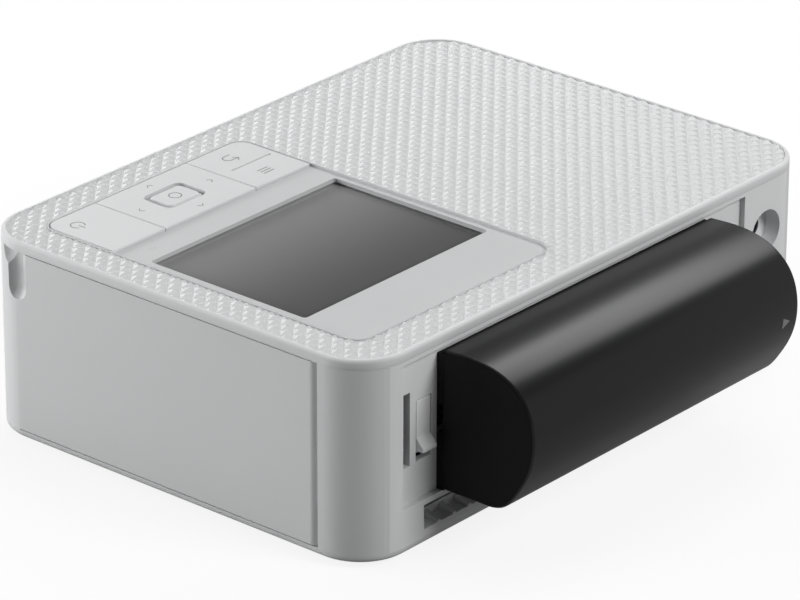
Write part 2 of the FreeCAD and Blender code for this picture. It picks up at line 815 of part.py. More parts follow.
def make_flap_pins():
    """Two short steel pins between the fascia's cheeks and the flap."""
    return group(rod("X", (FLAP_PIN_Y, FLAP_PIN_Z), "flap_pin_radius",
                     (f"{BAY_LEFT} - flap_pin_grip / 2", f"{BAY_LEFT} + flap_pin_grip")),
                 rod("X", (FLAP_PIN_Y, FLAP_PIN_Z), "flap_pin_radius",
                     (f"{BAY_RIGHT} - flap_pin_grip", f"{BAY_RIGHT} + flap_pin_grip / 2")))


def make_ink_door():
    """The side door over the ink cassette: a skin of the case's own outline with a round hinge edge."""
    low = "(base_top + seam)"
    high = f"({RIM_LOW} - seam)"
    skin = common(ring_wall("door_thickness", low, high),
                  block((f"{HALF} - corner_radius", HALF), ("door_front", DOOR_PIN_Y),
                        ("0", "case_height")))
    barrel = rod("Z", (DOOR_PIN_X, DOOR_PIN_Y), "door_barrel_radius", (low, high))
    ribs = []
    for share in DOOR_RIB_SHARES:
        z = f"({low} + ({high} - {low}) * {share})"
        ribs.append(block((f"{DOOR_INNER} - door_rib_depth", f"{DOOR_INNER} + door_rib_depth / 2"),
                          ("door_front + corner_radius", "door_rear - corner_radius / 2"),
                          (z, f"{z} + door_rib")))
    hook_z = f"({low} + ({high} - {low}) * {LATCH_SHARE})"
    stalk = block((f"{DOOR_INNER} - latch_reach", f"{DOOR_INNER} + door_rib_depth / 2"),
                  ("door_front + latch_reach", "door_front + latch_reach + door_rib"),
                  (f"{hook_z} - latch_width / 2", f"{hook_z} + latch_width / 2"))
    bores = [rod("Z", (DOOR_PIN_X, DOOR_PIN_Y), "door_pin_radius + running_gap", span)
             for span in ((f"{low} - overrun", f"{low} + door_pin_grip"),
                          (f"{high} - door_pin_grip", f"{high} + overrun"))]
    liner = notch_liner(("door_front", "door_front + notch_radius + notch_liner"))
    return cut(fuse(skin, barrel, *ribs, stalk, liner), finger_notch(), *bores)


DOOR_RIB_SHARES = (0.1, 0.32, 0.66, 0.88)
LATCH_SHARE = 0.31


def make_door_pins():
    """Two steel pins: one stands in the base, one hangs in the top cover."""
    low = rod("Z", (DOOR_PIN_X, DOOR_PIN_Y), "door_pin_radius",
              ("base_top - door_pin_seat", "base_top + seam + door_pin_grip"))
    high = rod("Z", (DOOR_PIN_X, DOOR_PIN_Y), "door_pin_radius",
               (f"{RIM_LOW} - seam - door_pin_grip", f"{RIM_LOW} + door_pin_seat"))
    return group(low, high)


def make_top_cover():
    """The lid: a flat plate with a rim all round and a window for the control panel."""
    cover = outline("0", RIM_LOW, "case_height")
    cover = round_edges(cover, "top_edge_radius", at("Z", "case_height"))
    hollow = outline("wall", f"{RIM_LOW} - overrun", PLATE_LOW)
    window = slab(("well_left", "well_right"), ("well_front", "well_rear"),
                  (f"{PLATE_LOW} - overrun", "case_height + overrun"), "well_radius")
    boss = rod("Z", (DOOR_PIN_X, DOOR_PIN_Y), "door_pin_radius + wall / 2",
               (RIM_LOW, "case_height - top_plate / 2"))
    pin = rod("Z", (DOOR_PIN_X, DOOR_PIN_Y), "door_pin_radius",
              (f"{RIM_LOW} - overrun", f"{RIM_LOW} + door_pin_seat"))
    return cut(fuse(cut(cover, hollow, window), boss), pin)


# Rear panel, battery release and power inlet


def hook_spots():
    """Where the battery's four hooks are: left edge and middle height of each."""
    return [(f"(hook_first_x + hook_pitch_x * {i})", f"(hook_low_z + hook_pitch_z * {j})")
            for i in range(2) for j in range(2)]


def make_rear_panel():
    """The back: battery bay, hook slots, lever opening, power inlet and the ribbed paper trough."""
    inside = f"({PANEL_INNER} - trough_depth)"
    plate = block(("-panel_half_width", "panel_half_width"), (PANEL_INNER, REAR), ("base_top", RIM_LOW))
    trough_box = block(("trough_left - trough_wall", "trough_right + trough_wall"),
                       (f"{REAR} - trough_depth - trough_wall", REAR),
                       ("trough_low - trough_wall", "trough_high + trough_wall"))
    dc_boss = rod("Y", ("dc_x", "dc_z"), "dc_radius + trough_wall",
                  (f"{REAR} - dc_depth - trough_wall", REAR))
    solid = fuse(plate, trough_box, dc_boss)
    bay = slab(("bay_left", "bay_right"), (BAY_FACE, f"{REAR} + overrun"), ("bay_low", "bay_high"))
    trough = block(("trough_left", "trough_right"), (f"{REAR} - trough_depth", f"{REAR} + overrun"),
                   ("trough_low", "trough_high"))
    paper = block(("trough_left + vane_thickness", "trough_right - vane_thickness"),
                  (f"{inside} - overrun", REAR),
                  ("slot_low", "slot_high"))
    tools = [bay, trough, paper]
    tools.append(block(("key_slot_left", "key_slot_right"), (f"{PANEL_INNER} - overrun", f"{REAR} + overrun"),
                       ("key_slot_low", "key_slot_high")))
    tools.append(block(("lever_left", "lever_right"), (f"{PANEL_INNER} - overrun", f"{REAR} + overrun"),
                       ("lever_low", "lever_high")))
    tools.append(rod("Y", ("dc_x", "dc_z"), "dc_radius", (f"{REAR} - dc_depth", f"{REAR} + overrun")))
    tools.append(rod("Y", ("dc_x", "dc_z"), "dc_barrel_radius",
                     (f"{REAR} - dc_depth - trough_wall - overrun", f"{REAR} + overrun")))
    for x, z in hook_spots():
        neck = block((f"{x} - battery_travel - free_gap", f"{x} + hook_width + free_gap"),
                     (f"{PANEL_INNER} - overrun", f"{REAR} + overrun"),
                     (f"{z} - hook_neck / 2 - free_gap", f"{z} + hook_neck / 2 + free_gap"))
        entry = block((f"{x} - battery_travel - free_gap", f"{x} - battery_travel + hook_width + free_gap"),
                      (f"{PANEL_INNER} - overrun", f"{REAR} + overrun"),
                      (f"{z} + hook_neck / 2 - hook_head - free_gap", f"{z} + hook_neck / 2 + free_gap"))
        tools.extend((neck, entry))
    tools.append(block(("terminal_left", "battery_right"), (f"{PANEL_INNER} - overrun", f"{REAR} + overrun"),
                       ("terminal_low", "terminal_high")))
    vanes = []
    count = int(value("(trough_right - trough_left) / vane_pitch"))
    for number in range(1, count):
        x = f"(trough_right - vane_pitch * {number})"
        base = ("trough_low - trough_wall / 2", "trough_low + vane_height")
        vane = profile("YZ", [(REAR, base[0]), (REAR, "trough_low + vane_height / 4"),
                              (f"{REAR} - trough_depth", base[1]), (f"{REAR} - trough_depth", base[0])],
                       f"{x} - vane_thickness / 2", f"{x} + vane_thickness / 2")
        vanes.append(vane)
    return fuse(cut(solid, *tools), *vanes)


def make_release_lever():
    """The slider that frees the battery: a face with a finger ledge, flanges behind the panel."""
    face = ("lever_left + free_gap", "lever_right - free_gap")
    front = block(face, (PANEL_INNER, BAY_FACE), ("lever_low + lever_travel + free_gap",
                                                  "lever_high - free_gap"))
    ledge = profile("YZ", [(BAY_FACE, "lever_ledge_low"),
                           (f"{BAY_FACE} + lever_ledge_reach", "lever_ledge_low"),
                           (f"{BAY_FACE} + lever_ledge_reach", "lever_ledge_low + lever_ledge_reach / 2"),
                           (BAY_FACE, "lever_ledge_high")], face[0], face[1])
    flange_rear = f"({PANEL_INNER} - free_gap)"
    flange = block((f"{face[0]} - lever_flange", f"{face[1]} + lever_flange"),
                   (f"{flange_rear} - lever_flange", flange_rear),
                   ("lever_low + lever_travel + free_gap", "lever_high - free_gap"))
    neck = block(face, (f"{flange_rear} - lever_flange", f"{PANEL_INNER} + lever_flange / 2"),
                 ("lever_low + lever_travel + free_gap", "lever_high - free_gap"))
    return fuse(front, ledge, flange, neck)


def make_dc_jack():
    """The power socket behind its recess: a block with a barrel and a centre pin."""
    seat = f"({REAR} - dc_depth - trough_wall)"
    body = block(("dc_x - dc_radius", "dc_x + dc_radius"), (f"{seat} - dc_radius * 2", seat),
                 ("dc_z - dc_radius", "dc_z + dc_radius"))
    barrel = rod("Y", ("dc_x", "dc_z"), "dc_barrel_radius - running_gap",
                 (f"{seat} - overrun / 2", f"{seat} + trough_wall"))
    bore = rod("Y", ("dc_x", "dc_z"), "dc_barrel_radius * 0.75", (f"{seat} - dc_radius", f"{seat} + overrun"))
    pin = rod("Y", ("dc_x", "dc_z"), "dc_pin_radius", (f"{seat} - dc_radius - overrun / 5",
                                                       f"{seat} + trough_wall / 2"))
    return fuse(cut(fuse(body, barrel), bore), pin)


# Battery pack


def battery_section(inset, low, high):
    """The pack's D outline, drawn in by an inset, as a prism along X."""
    tall = f"(battery_high - battery_low - 2 * {inset})"
    deep = f"(battery_depth - battery_base_depth - {inset})"
    seat = f"({BAY_FACE} + battery_base_depth)"
    path = []
    for step in BATTERY_OUTLINE_SHARES:
        spot = (f"{seat} + {deep} * {step[-2]}", f"battery_low + {inset} + {tall} * {step[-1]}")
        path.append(("via", *spot) if len(step) == 3 else spot)
    return profile("YZ", path, low, high)


# Corners and bends of the D outline: depth from the base, height from the underside
BATTERY_OUTLINE_SHARES = (
    (0.0, 0.0),
    (0.48, 0.0),
    ("via", 0.665, 0.035),
    (0.8, 0.145),
    ("via", 0.942, 0.33),
    (1.0, 0.56),
    ("via", 0.894, 0.818),
    (0.64, 0.955),
    ("via", 0.27, 1.0),
    (0.0, 0.962),
)


def make_battery_shell():
    """The pack's outer shell: a D-shaped tube closed at both ends, its end edges rounded."""
    skin = battery_section("0", "battery_left", "battery_right")
    skin = round_edges(skin, "battery_edge_radius",
                       lambda edge: at("X", "battery_left")(edge) or at("X", "battery_right")(edge),
                       lambda edge: not at("Y", f"{BAY_FACE} + battery_base_depth")(edge))
    hollow = battery_section("battery_wall", "battery_left + battery_wall", "battery_right - battery_wall")
    mouth = block(("battery_left + battery_wall", "battery_right - battery_wall"),
                  (f"{BAY_FACE} - overrun", f"{BAY_FACE} + battery_base_depth + battery_wall"),
                  ("battery_low + battery_wall", "battery_high - battery_wall * 2"))
    return cut(skin, hollow, mouth)


def make_battery_base():
    """The plate on the pack's flat side, with its four hooks and the contact groove."""
    plate = block(("battery_left", "battery_right"), (BAY_FACE, f"{BAY_FACE} + battery_base_depth"),
                  ("battery_low", "battery_low + (battery_high - battery_low) * 0.962"))
    hooks = []
    for x, z in hook_spots():
        head_rear = f"({PANEL_INNER} - free_gap)"
        hooks.append(block((x, f"{x} + hook_width"), (f"{head_rear} - hook_thickness",
                                                      f"{BAY_FACE} + battery_base_depth / 2"),
                           (f"{z} - hook_neck / 2", f"{z} + hook_neck / 2")))
        hooks.append(block((x, f"{x} + hook_width"), (f"{head_rear} - hook_thickness", head_rear),
                           (f"{z} + hook_neck / 2 - hook_head", f"{z} + hook_neck / 2")))
    groove = block(("terminal_left", "battery_right + overrun"),
                   (f"{BAY_FACE} - overrun", f"{BAY_FACE} + battery_base_depth * 0.8"),
                   ("terminal_low", "terminal_high"))
    return cut(fuse(plate, *hooks), groove)


def make_battery_cells():
    """Four round cells in two rows."""
    cells = []
    middle = "((battery_left + battery_right) / 2)"
    centre_y = f"({BAY_FACE} + battery_base_depth + cell_radius + battery_wall)"
    for start in (f"({middle} - cell_length - free_gap)", f"({middle} + free_gap)"):
        for lift in ("(cell_radius + battery_wall + free_gap * 2)",
                     "(cell_radius * 3 + battery_wall + free_gap * 3)"):
            cells.append(rod("X", (centre_y, f"battery_low + {lift}"), "cell_radius",
                             (start, f"{start} + cell_length")))
    return group(*cells)


def make_battery_terminals():
    """The contact block behind the panel, its blades reaching into the pack's groove."""
    back = block(("terminal_left - terminal_blade", "battery_right - terminal_blade"),
                 (f"{PANEL_INNER} - trough_depth", PANEL_INNER), ("terminal_low", "terminal_high"))
    blades = []
    for share in (0.2, 0.5, 0.8):
        z = f"(terminal_low + (terminal_high - terminal_low) * {share})"
        blades.append(block(("terminal_left + terminal_blade * 3", "battery_right - terminal_blade * 4"),
                            (f"{PANEL_INNER} - terminal_blade", f"{BAY_FACE} + battery_base_depth / 2"),
                            (f"{z} - terminal_blade / 2", f"{z} + terminal_blade / 2")))
    return fuse(back, *blades)


# Control panel, screen and keys


def make_control_panel():
    """The smooth panel in the lid's window: a frame round the screen, a lower shelf under the keys."""
    body = slab(("well_left", "well_right"), ("well_front", "well_rear"), (KEY_FLOOR_LOW, FRAME_TOP),
                "well_radius")
    key_well = block(("well_left + frame_thickness", "well_right - frame_thickness"),
                     ("well_front + frame_thickness", "key_field_rear - frame_thickness"),
                     (KEY_FLOOR_TOP, "case_height + overrun"))
    brow = block(("well_left - overrun", "well_right + overrun"), ("well_front - overrun", "key_field_rear"),
                 (f"{KEY_LOW} - key_travel * 1.2", "case_height + overrun"))
    window = slab(("window_left", "window_right"), ("window_front", "window_rear"),
                  (f"{GLASS_TOP} - overrun", "case_height + overrun"), "window_radius")
    glass_bed = block(("window_left - glass_lap - free_gap / 2", "window_right + glass_lap + free_gap / 2"),
                      ("window_front - glass_lap - free_gap / 2", "window_rear + glass_lap + free_gap / 2"),
                      (f"{KEY_FLOOR_LOW} - overrun", GLASS_TOP))
    under = block(("well_left + frame_thickness", "well_right - frame_thickness"),
                  ("key_field_rear + frame_thickness", "well_rear - frame_thickness"),
                  (f"{KEY_FLOOR_LOW} - overrun", f"{GLASS_TOP} - frame_thickness"))
    holes = [rod("Z", (x, y), "stem_radius + stem_hole_gap", (f"{KEY_FLOOR_LOW} - overrun", "case_height"))
             for x, y in stem_spots()]
    lamp = rod("Z", ("lamp_x", "lamp_y"), "lamp_radius", (f"{KEY_FLOOR_LOW} - overrun", "case_height"))
    return cut(body, key_well, brow, window, glass_bed, under, lamp, *holes)


OK_X = "((ok_well_left + ok_well_right) / 2)"
OK_Y = "((ok_well_front + ok_well_rear) / 2)"
FIELD_Y = "((well_front + key_field_rear) / 2)"
MENU_X = "((well_left + key_split_left) / 2)"
POWER_X = "((key_split_right + well_right) / 2)"
NAV_STEM_Y = "(key_field_rear - stem_radius * 2.6)"
BACK_STEM_Y = "(well_front + stem_radius * 2.9)"


def stem_spots():
    """Where the keys' stems go through the shelf."""
    return [(POWER_X, FIELD_Y), (OK_X, OK_Y),
            (OK_X, NAV_STEM_Y), (OK_X, BACK_STEM_Y),
            ("(key_split_left + stem_radius * 2.6)", OK_Y), ("(key_split_right - stem_radius * 2.6)", OK_Y),
            (MENU_X, NAV_STEM_Y), (MENU_X, BACK_STEM_Y)]


def key_cap(left, right, tools=(), stems=()):
    """A key's cap over the whole depth of the key field, with its stems."""
    cap = block((f"{left} + key_gap", f"{right} - key_gap"),
                ("well_front + key_gap * 2", "key_field_rear - key_gap"), (KEY_LOW, "case_height"))
    field = slab(("well_left + key_gap * 2", "well_right - key_gap * 2"),
                 ("well_front + key_gap * 2", "well_rear"), (KEY_LOW, "case_height"),
                 "well_radius - key_gap * 2")
    cap = common(cap, field)
    cap = round_edges(cap, "key_edge_radius", at("Z", "case_height"))
    if tools:
        cap = cut(cap, *tools)
    posts = [rod("Z", spot, "stem_radius", (f"{MAT_TOP} + stem_gap", f"{KEY_LOW} + key_thickness / 2"))
             for spot in stems]
    return fuse(cap, *posts) if posts else cap


MAT_TOP = KEY_FLOOR_LOW


def make_power_key():
    """The right-hand key."""
    return key_cap("key_split_right", "well_right", stems=[(POWER_X, FIELD_Y)])


def make_menu_back_key():
    """The left-hand rocker, split by a short slit into a front and a rear press point."""
    slit = block(("slit_left", "slit_right"), ("slit_y - slit_width / 2", "slit_y + slit_width / 2"),
                 ("case_height - slit_depth", "case_height + overrun"))
    return key_cap("well_left + key_gap", "key_split_left", [slit],
                   [(MENU_X, NAV_STEM_Y), (MENU_X, BACK_STEM_Y)])


def make_nav_rocker():
    """The four-way rocker with the confirm key's well in its middle."""
    well = slab(("ok_well_left", "ok_well_right"), ("ok_well_front", "ok_well_rear"),
                (f"{KEY_LOW} - overrun", "case_height + overrun"), "ok_well_radius")
    return key_cap("key_split_left", "key_split_right", [well],
                   [(OK_X, NAV_STEM_Y), (OK_X, BACK_STEM_Y),
                    ("(key_split_left + stem_radius * 2.6)", OK_Y),
                    ("(key_split_right - stem_radius * 2.6)", OK_Y)])


def make_ok_key():
    """The confirm key: a raised cap on a wider flange that closes the groove round it."""
    cap = slab(("ok_well_left + ok_groove", "ok_well_right - ok_groove"),
               ("ok_well_front + ok_groove", "ok_well_rear - ok_groove"), (KEY_LOW, "case_height"),
               "ok_well_radius - ok_groove / 2")
    cap = round_edges(cap, "key_edge_radius", at("Z", "case_height"))
    flange = slab(("ok_well_left + free_gap * 2", "ok_well_right - free_gap * 2"),
                  ("ok_well_front + free_gap * 2", "ok_well_rear - free_gap * 2"),
                  (KEY_LOW, "case_height - ok_flange_drop"), "ok_well_radius - free_gap")
    stem = rod("Z", (OK_X, OK_Y), "stem_radius", (f"{MAT_TOP} + stem_gap", f"{KEY_LOW} + key_thickness / 2"))
    return fuse(cap, flange, stem)


def make_nav_pivot_ring():
    """The ring that the rocker tips on: it leans left and right, the rocker leans fore and aft."""
    middle = f"(({KEY_LOW} + {KEY_FLOOR_TOP}) / 2)"
    height = (f"{middle} - ring_thickness / 2", f"{middle} + ring_thickness / 2")
    ring = slab(("ok_well_left - ring_band", "ok_well_right + ring_band"),
                ("ok_well_front - ring_band", "ok_well_rear + ring_band"), height,
                "ok_well_radius + ring_band")
    bore = slab(("ok_well_left", "ok_well_right"), ("ok_well_front", "ok_well_rear"),
                (f"{height[0]} - overrun", f"{height[1]} + overrun"), "ok_well_radius")
    return cut(ring, bore)


def make_key_mat():
    """The silicone sheet between the keys and the switches."""
    return slab(("well_left + frame_thickness * 1.5", "well_right - frame_thickness * 1.5"),
                ("well_front + frame_thickness * 1.5", "key_field_rear - frame_thickness * 1.5"),
                (MAT_LOW, MAT_TOP), "well_radius / 2")


def make_key_board():
    """The key circuit board with one switch under each stem."""
    board = block(("well_left + frame_thickness", "well_right - frame_thickness"),
                  ("well_front + frame_thickness", "key_field_rear - frame_thickness"),
                  (BOARD_LOW, BOARD_TOP))
    switches = [block((f"{x} - switch_size / 2", f"{x} + switch_size / 2"),
                      (f"{y} - switch_size / 2", f"{y} + switch_size / 2"), (BOARD_TOP, MAT_LOW))
                for x, y in stem_spots()]
    return fuse(board, *switches)


def make_display_window():
    """The clear plate over the screen, held under the frame's lip."""
    return slab(("window_left - glass_lap", "window_right + glass_lap"),
                ("window_front - glass_lap", "window_rear + glass_lap"), (DISPLAY_TOP, GLASS_TOP),
                "window_radius")


def make_display_module():
    """The screen module in its tray."""
    low = f"({DISPLAY_TOP} - display_thickness)"
    tray = slab(("window_left - glass_lap", "window_right + glass_lap"),
                ("window_front - glass_lap", "window_rear + glass_lap"), (low, DISPLAY_TOP), "window_radius")
    tail = block(("window_left + window_radius * 8", "window_right - window_radius * 40"),
                 ("window_rear", "window_rear + glass_lap * 8"),
                 (f"{low} + display_thickness / 4", f"{low} + display_thickness / 2"))
    return fuse(tray, tail)


def make_status_lamp():
    """The light guide beside the screen."""
    head = rod("Z", ("lamp_x", "lamp_y"), "lamp_radius - running_gap", (BOARD_TOP, FRAME_TOP))
    return head


# Print mechanism

LEFT_IN = "(left_plate_x + plate_thickness)"
RIGHT_OUT = "(right_plate_x + plate_thickness)"


def shafts():
    """Every shaft that crosses the mechanism: its y, z and radius."""
    return {
        "platen": ("0", "platen_z", "platen_shaft_radius"),
        "capstan": ("capstan_y", "capstan_z", "capstan_shaft_radius"),
        "pinch": ("capstan_y", PINCH_Z, "pinch_shaft_radius"),
        "pickup": ("pickup_y", "pickup_z", "pickup_shaft_radius"),
    }


PINCH_Z = "(capstan_z + capstan_radius + free_gap + pinch_radius)"


def bearing_holes():
    """The running holes for the shafts through both side plates."""
    span = ("left_plate_x - overrun", f"{RIGHT_OUT} + overrun")
    return [rod("X", (y, z), f"{radius} + running_gap", span) for y, z, radius in shafts().values()]


def make_left_side_plate():
    """The mechanism's left frame: bearings, axle holes, a foot and a ledge for the main board."""
    plate = block(("left_plate_x", LEFT_IN), ("plate_front", "plate_rear"), (FLOOR_TOP, "plate_high"))
    foot = block(("left_plate_x - plate_foot", LEFT_IN), ("plate_front", "plate_rear"),
                 (FLOOR_TOP, f"{FLOOR_TOP} + plate_thickness"))
    ledge = block(("left_plate_x - plate_foot", LEFT_IN), ("plate_front", "plate_rear"),
                  ("plate_high", "main_board_z"))
    holes = bearing_holes()
    holes.append(rod("X", (TAKE_UP_Y, TAKE_UP_Z), "hub_radius + running_gap",
                     ("left_plate_x - overrun", f"{LEFT_IN} + overrun")))
    holes.append(rod("X", (MOTOR_Y, MOTOR_Z), "hub_radius",
                     ("left_plate_x - overrun", f"{LEFT_IN} + overrun")))
    holes.append(rod("X", ("idler_y", "idler_z"), "axle_radius",
                     ("left_plate_x - overrun", f"{LEFT_IN} + overrun")))
    holes.append(rod("X", ("head_pivot_y", "head_pivot_z"), "head_shaft_radius",
                     ("left_plate_x - overrun", f"{LEFT_IN} + overrun")))
    return cut(fuse(plate, foot, ledge), *holes)


def make_right_side_plate():
    """The mechanism's right frame, with the window that the ink cassette passes through."""
    plate = block(("right_plate_x", RIGHT_OUT), ("plate_front", "plate_rear"), (FLOOR_TOP, "plate_high"))
    foot = block(("right_plate_x", f"{RIGHT_OUT} + plate_foot"), ("plate_front", "plate_rear"),
                 (FLOOR_TOP, f"{FLOOR_TOP} + plate_thickness"))
    window = block(("right_plate_x - overrun", f"{RIGHT_OUT} + overrun"),
                   ("supply_y - supply_radius - free_gap * 2",
                    f"{TAKE_UP_Y} + take_up_radius + free_gap * 2"),
                   ("end_bar_low - free_gap * 2", "supply_z + supply_radius + free_gap * 2"))
    clear = [rod("X", centre, f"{radius} + free_gap * 2",
                 ("right_plate_x - overrun", f"{RIGHT_OUT} + overrun"))
             for centre, radius in ((SUPPLY, "supply_radius"), (TAKE_UP, "take_up_radius"))]
    holes = bearing_holes()
    holes.append(rod("X", ("head_pivot_y", "head_pivot_z"), "head_shaft_radius",
                     ("right_plate_x - overrun", f"{RIGHT_OUT} + overrun")))
    ear = block(("right_plate_x", f"eject_lever_x + eject_lever_thickness + free_gap * 2"),
                ("eject_lever_y - eject_boss_radius * 1.5", "eject_lever_y + eject_boss_radius * 1.5"),
                ("eject_lever_z - eject_boss_radius - plate_thickness - free_gap",
                 "eject_lever_z - eject_boss_radius - free_gap"))
    return cut(fuse(plate, foot, ear), window, *clear, *holes, eject_pin_hole())


def eject_pin_hole():
    """The hole that the eject lever's pin is pressed into."""
    return rod("Z", (EJECT_X, "eject_lever_y"), "eject_pin_radius",
               ("eject_lever_z - overrun * 3", "eject_lever_z"))


EJECT_X = "(eject_lever_x + eject_lever_thickness / 2)"


GEAR_FACE = ("gear_plane_x", "(gear_plane_x + gear_face)")
BELT_FACE = ("(belt_plane_x - belt_width / 2)", "(belt_plane_x + belt_width / 2)")


def roller(name, radius, left_end, sleeve=None):
    """A steel shaft with a thicker roller between the side plates."""
    y, z, shaft_radius = shafts()[name]
    shaft = rod("X", (y, z), shaft_radius, (left_end, f"{RIGHT_OUT} + shaft_stub / 2"))
    span = sleeve or (f"{LEFT_IN} + roller_end_gap", "right_plate_x - roller_end_gap")
    return fuse(shaft, rod("X", (y, z), radius, span))


def make_platen_roller():
    """The rubber roller under the print head, its shaft carried out to the gear."""
    return roller("platen", "platen_radius", "(gear_plane_x - shaft_stub / 4)")


def make_capstan_roller():
    """The gripping roller that draws the paper, its shaft carried out to the gear."""
    return roller("capstan", "capstan_radius", "(gear_plane_x - shaft_stub / 4)")


def make_pinch_roller():
    """The idle roller that presses the paper on the gripping roller."""
    return roller("pinch", "pinch_radius", "(left_plate_x - shaft_stub / 2)")


def make_pickup_roller():
    """The short rubber tyre that picks a sheet off the stack."""
    return roller("pickup", "pickup_radius", f"({BELT_FACE[0]} - shaft_stub / 4)",
                  ("bay_centre_x - pickup_tyre_width / 2", "bay_centre_x + pickup_tyre_width / 2"))


def make_pickup_pulley():
    """The belt pulley on the pickup shaft."""
    return cut(rod("X", PICKUP, "pulley_radius", BELT_FACE),
               rod("X", PICKUP, "pickup_shaft_radius", (f"{BELT_FACE[0]} - overrun",
                                                        f"{BELT_FACE[1]} + overrun")))


PICKUP = ("pickup_y", "pickup_z")
BELT_RUN = "sqrt(pickup_y ^ 2 + (pickup_z - platen_z) ^ 2)"
RUN_Y = f"(pickup_y / {BELT_RUN})"
RUN_Z = f"((pickup_z - platen_z) / {BELT_RUN})"


def belt_loop(radius, low, high):
    """The belt's line round both pulleys, at a distance from their axes, as a prism."""
    def spot(y, z, ahead, aside):
        return (f"{y} + {radius} * ({RUN_Y} * {ahead} - {RUN_Z} * {aside})",
                f"{z} + {radius} * ({RUN_Z} * {ahead} + {RUN_Y} * {aside})")
    near = ("0", "platen_z")
    far = ("pickup_y", "pickup_z")
    path = [spot(*near, 0, 1), spot(*far, 0, 1), ("via", *spot(*far, 1, 0)),
            spot(*far, 0, -1), spot(*near, 0, -1), ("via", *spot(*near, -1, 0))]
    return profile("YZ", path, low, high)


def make_feed_belt():
    """The belt from the platen's pulley to the pickup shaft."""
    inner = "(pulley_radius + free_gap)"
    return cut(belt_loop(f"({inner} + belt_thickness)", *BELT_FACE),
               belt_loop(inner, f"{BELT_FACE[0]} - overrun", f"{BELT_FACE[1]} + overrun"))


def gear(teeth, centre, face, bore=None, phase=0.0):
    """A spur gear: straight-sided teeth from the root circle to the tip circle, narrower than half
    the pitch by the backlash. The phase turns the first tooth, in degrees from +Y towards +Z."""
    module = value("gear_module")
    backlash = value("gear_backlash")
    pitch_radius = module * teeth / 2
    tip_radius = pitch_radius + module * 0.85
    root_radius = pitch_radius - module * 1.15
    half_pitch = (math.pi * module / 2 - backlash) / 2 / pitch_radius
    half_tip = half_pitch * 0.52
    half_root = half_pitch * 1.45
    y, z = value(centre[0]), value(centre[1])
    x = value(face[0])
    corners = []
    for number in range(teeth):
        middle = math.radians(phase) + 2 * math.pi * number / teeth
        for radius, turn in ((root_radius, -half_root), (tip_radius, -half_tip), (tip_radius, half_tip),
                             (root_radius, half_root)):
            corners.append(Vector(x, y + radius * math.cos(middle + turn),
                                  z + radius * math.sin(middle + turn)))
    blank = Part.Face(Part.makePolygon(corners + corners[:1])).extrude(Vector(value(face[1]) - x, 0, 0))
    wheel = doc.addObject("Part::Feature", fresh("Wheel"))
    wheel.Shape = blank
    if bore is None:
        return wheel
    return cut(wheel, rod("X", centre, bore, (f"{face[0]} - overrun", f"{face[1]} + overrun")))


def mesh_phase(teeth, other_teeth, angle, other_phase):
    """The phase that puts a gap of one gear on a tooth of the gear it meshes with.
    The angle is that of this gear's axis seen from the other's."""
    lead = (angle - other_phase) * other_teeth / 360
    return angle + 180 + (0.5 + lead) * 360 / teeth


def bearing_angle(from_place, to_place):
    """The angle of one axis seen from another, in degrees from +Y towards +Z."""
    rise = value(to_place[1]) - value(from_place[1])
    run = value(to_place[0]) - value(from_place[0])
    return math.degrees(math.atan2(rise, run))


IDLER = ("idler_y", "idler_z")
PLATEN = ("0", "platen_z")
CAPSTAN = ("capstan_y", "capstan_z")
TAKE_UP = (TAKE_UP_Y, TAKE_UP_Z)
MOTOR = (MOTOR_Y, MOTOR_Z)


def make_idler_gear():
    """The gear that the motor turns, in mesh with all the others."""
    return gear(IDLER_TEETH, IDLER, GEAR_FACE, "axle_radius + running_gap")


def make_platen_gear():
    """The gear on the platen roller's shaft, with the belt's pulley beside it."""
    phase = mesh_phase(PLATEN_TEETH, IDLER_TEETH, bearing_angle(IDLER, PLATEN), 0.0)
    wheel = gear(PLATEN_TEETH, PLATEN, GEAR_FACE, None, phase)
    neck = rod("X", PLATEN, "platen_shaft_radius + free_gap * 2", (GEAR_FACE[0], BELT_FACE[1]))
    pulley = rod("X", PLATEN, "pulley_radius", BELT_FACE)
    bore = rod("X", PLATEN, "platen_shaft_radius", (f"{GEAR_FACE[0]} - overrun", f"{BELT_FACE[1]} + overrun"))
    return cut(fuse(wheel, neck, pulley), bore)


def make_capstan_gear():
    """The gear on the gripping roller's shaft."""
    phase = mesh_phase(CAPSTAN_TEETH, IDLER_TEETH, bearing_angle(IDLER, CAPSTAN), 0.0)
    return gear(CAPSTAN_TEETH, CAPSTAN, GEAR_FACE, "capstan_shaft_radius", phase)


def make_take_up_gear():
    """The gear that winds the used ribbon, with its hub through the side plate and a splined nose."""
    phase = mesh_phase(TAKE_UP_TEETH, IDLER_TEETH, bearing_angle(IDLER, TAKE_UP), 0.0)
    wheel = gear(TAKE_UP_TEETH, TAKE_UP, GEAR_FACE, None, phase)
    hub = rod("X", TAKE_UP, "hub_radius", (GEAR_FACE[0], f"{LEFT_IN} + free_gap"))
    nose = rod("X", TAKE_UP, "spool_bore - free_gap", (LEFT_IN, "cassette_left + cassette_cap * 2"))
    return fuse(wheel, hub, nose)


def make_motor_pinion():
    """The small gear with the motor's shaft."""
    phase = mesh_phase(MOTOR_TEETH, IDLER_TEETH, bearing_angle(IDLER, MOTOR), 0.0)
    wheel = gear(MOTOR_TEETH, MOTOR, GEAR_FACE, None, phase)
    shaft = rod("X", MOTOR, "motor_shaft_radius", (MOTOR_FACE, f"{GEAR_FACE[1]} + free_gap"))
    return fuse(wheel, shaft)


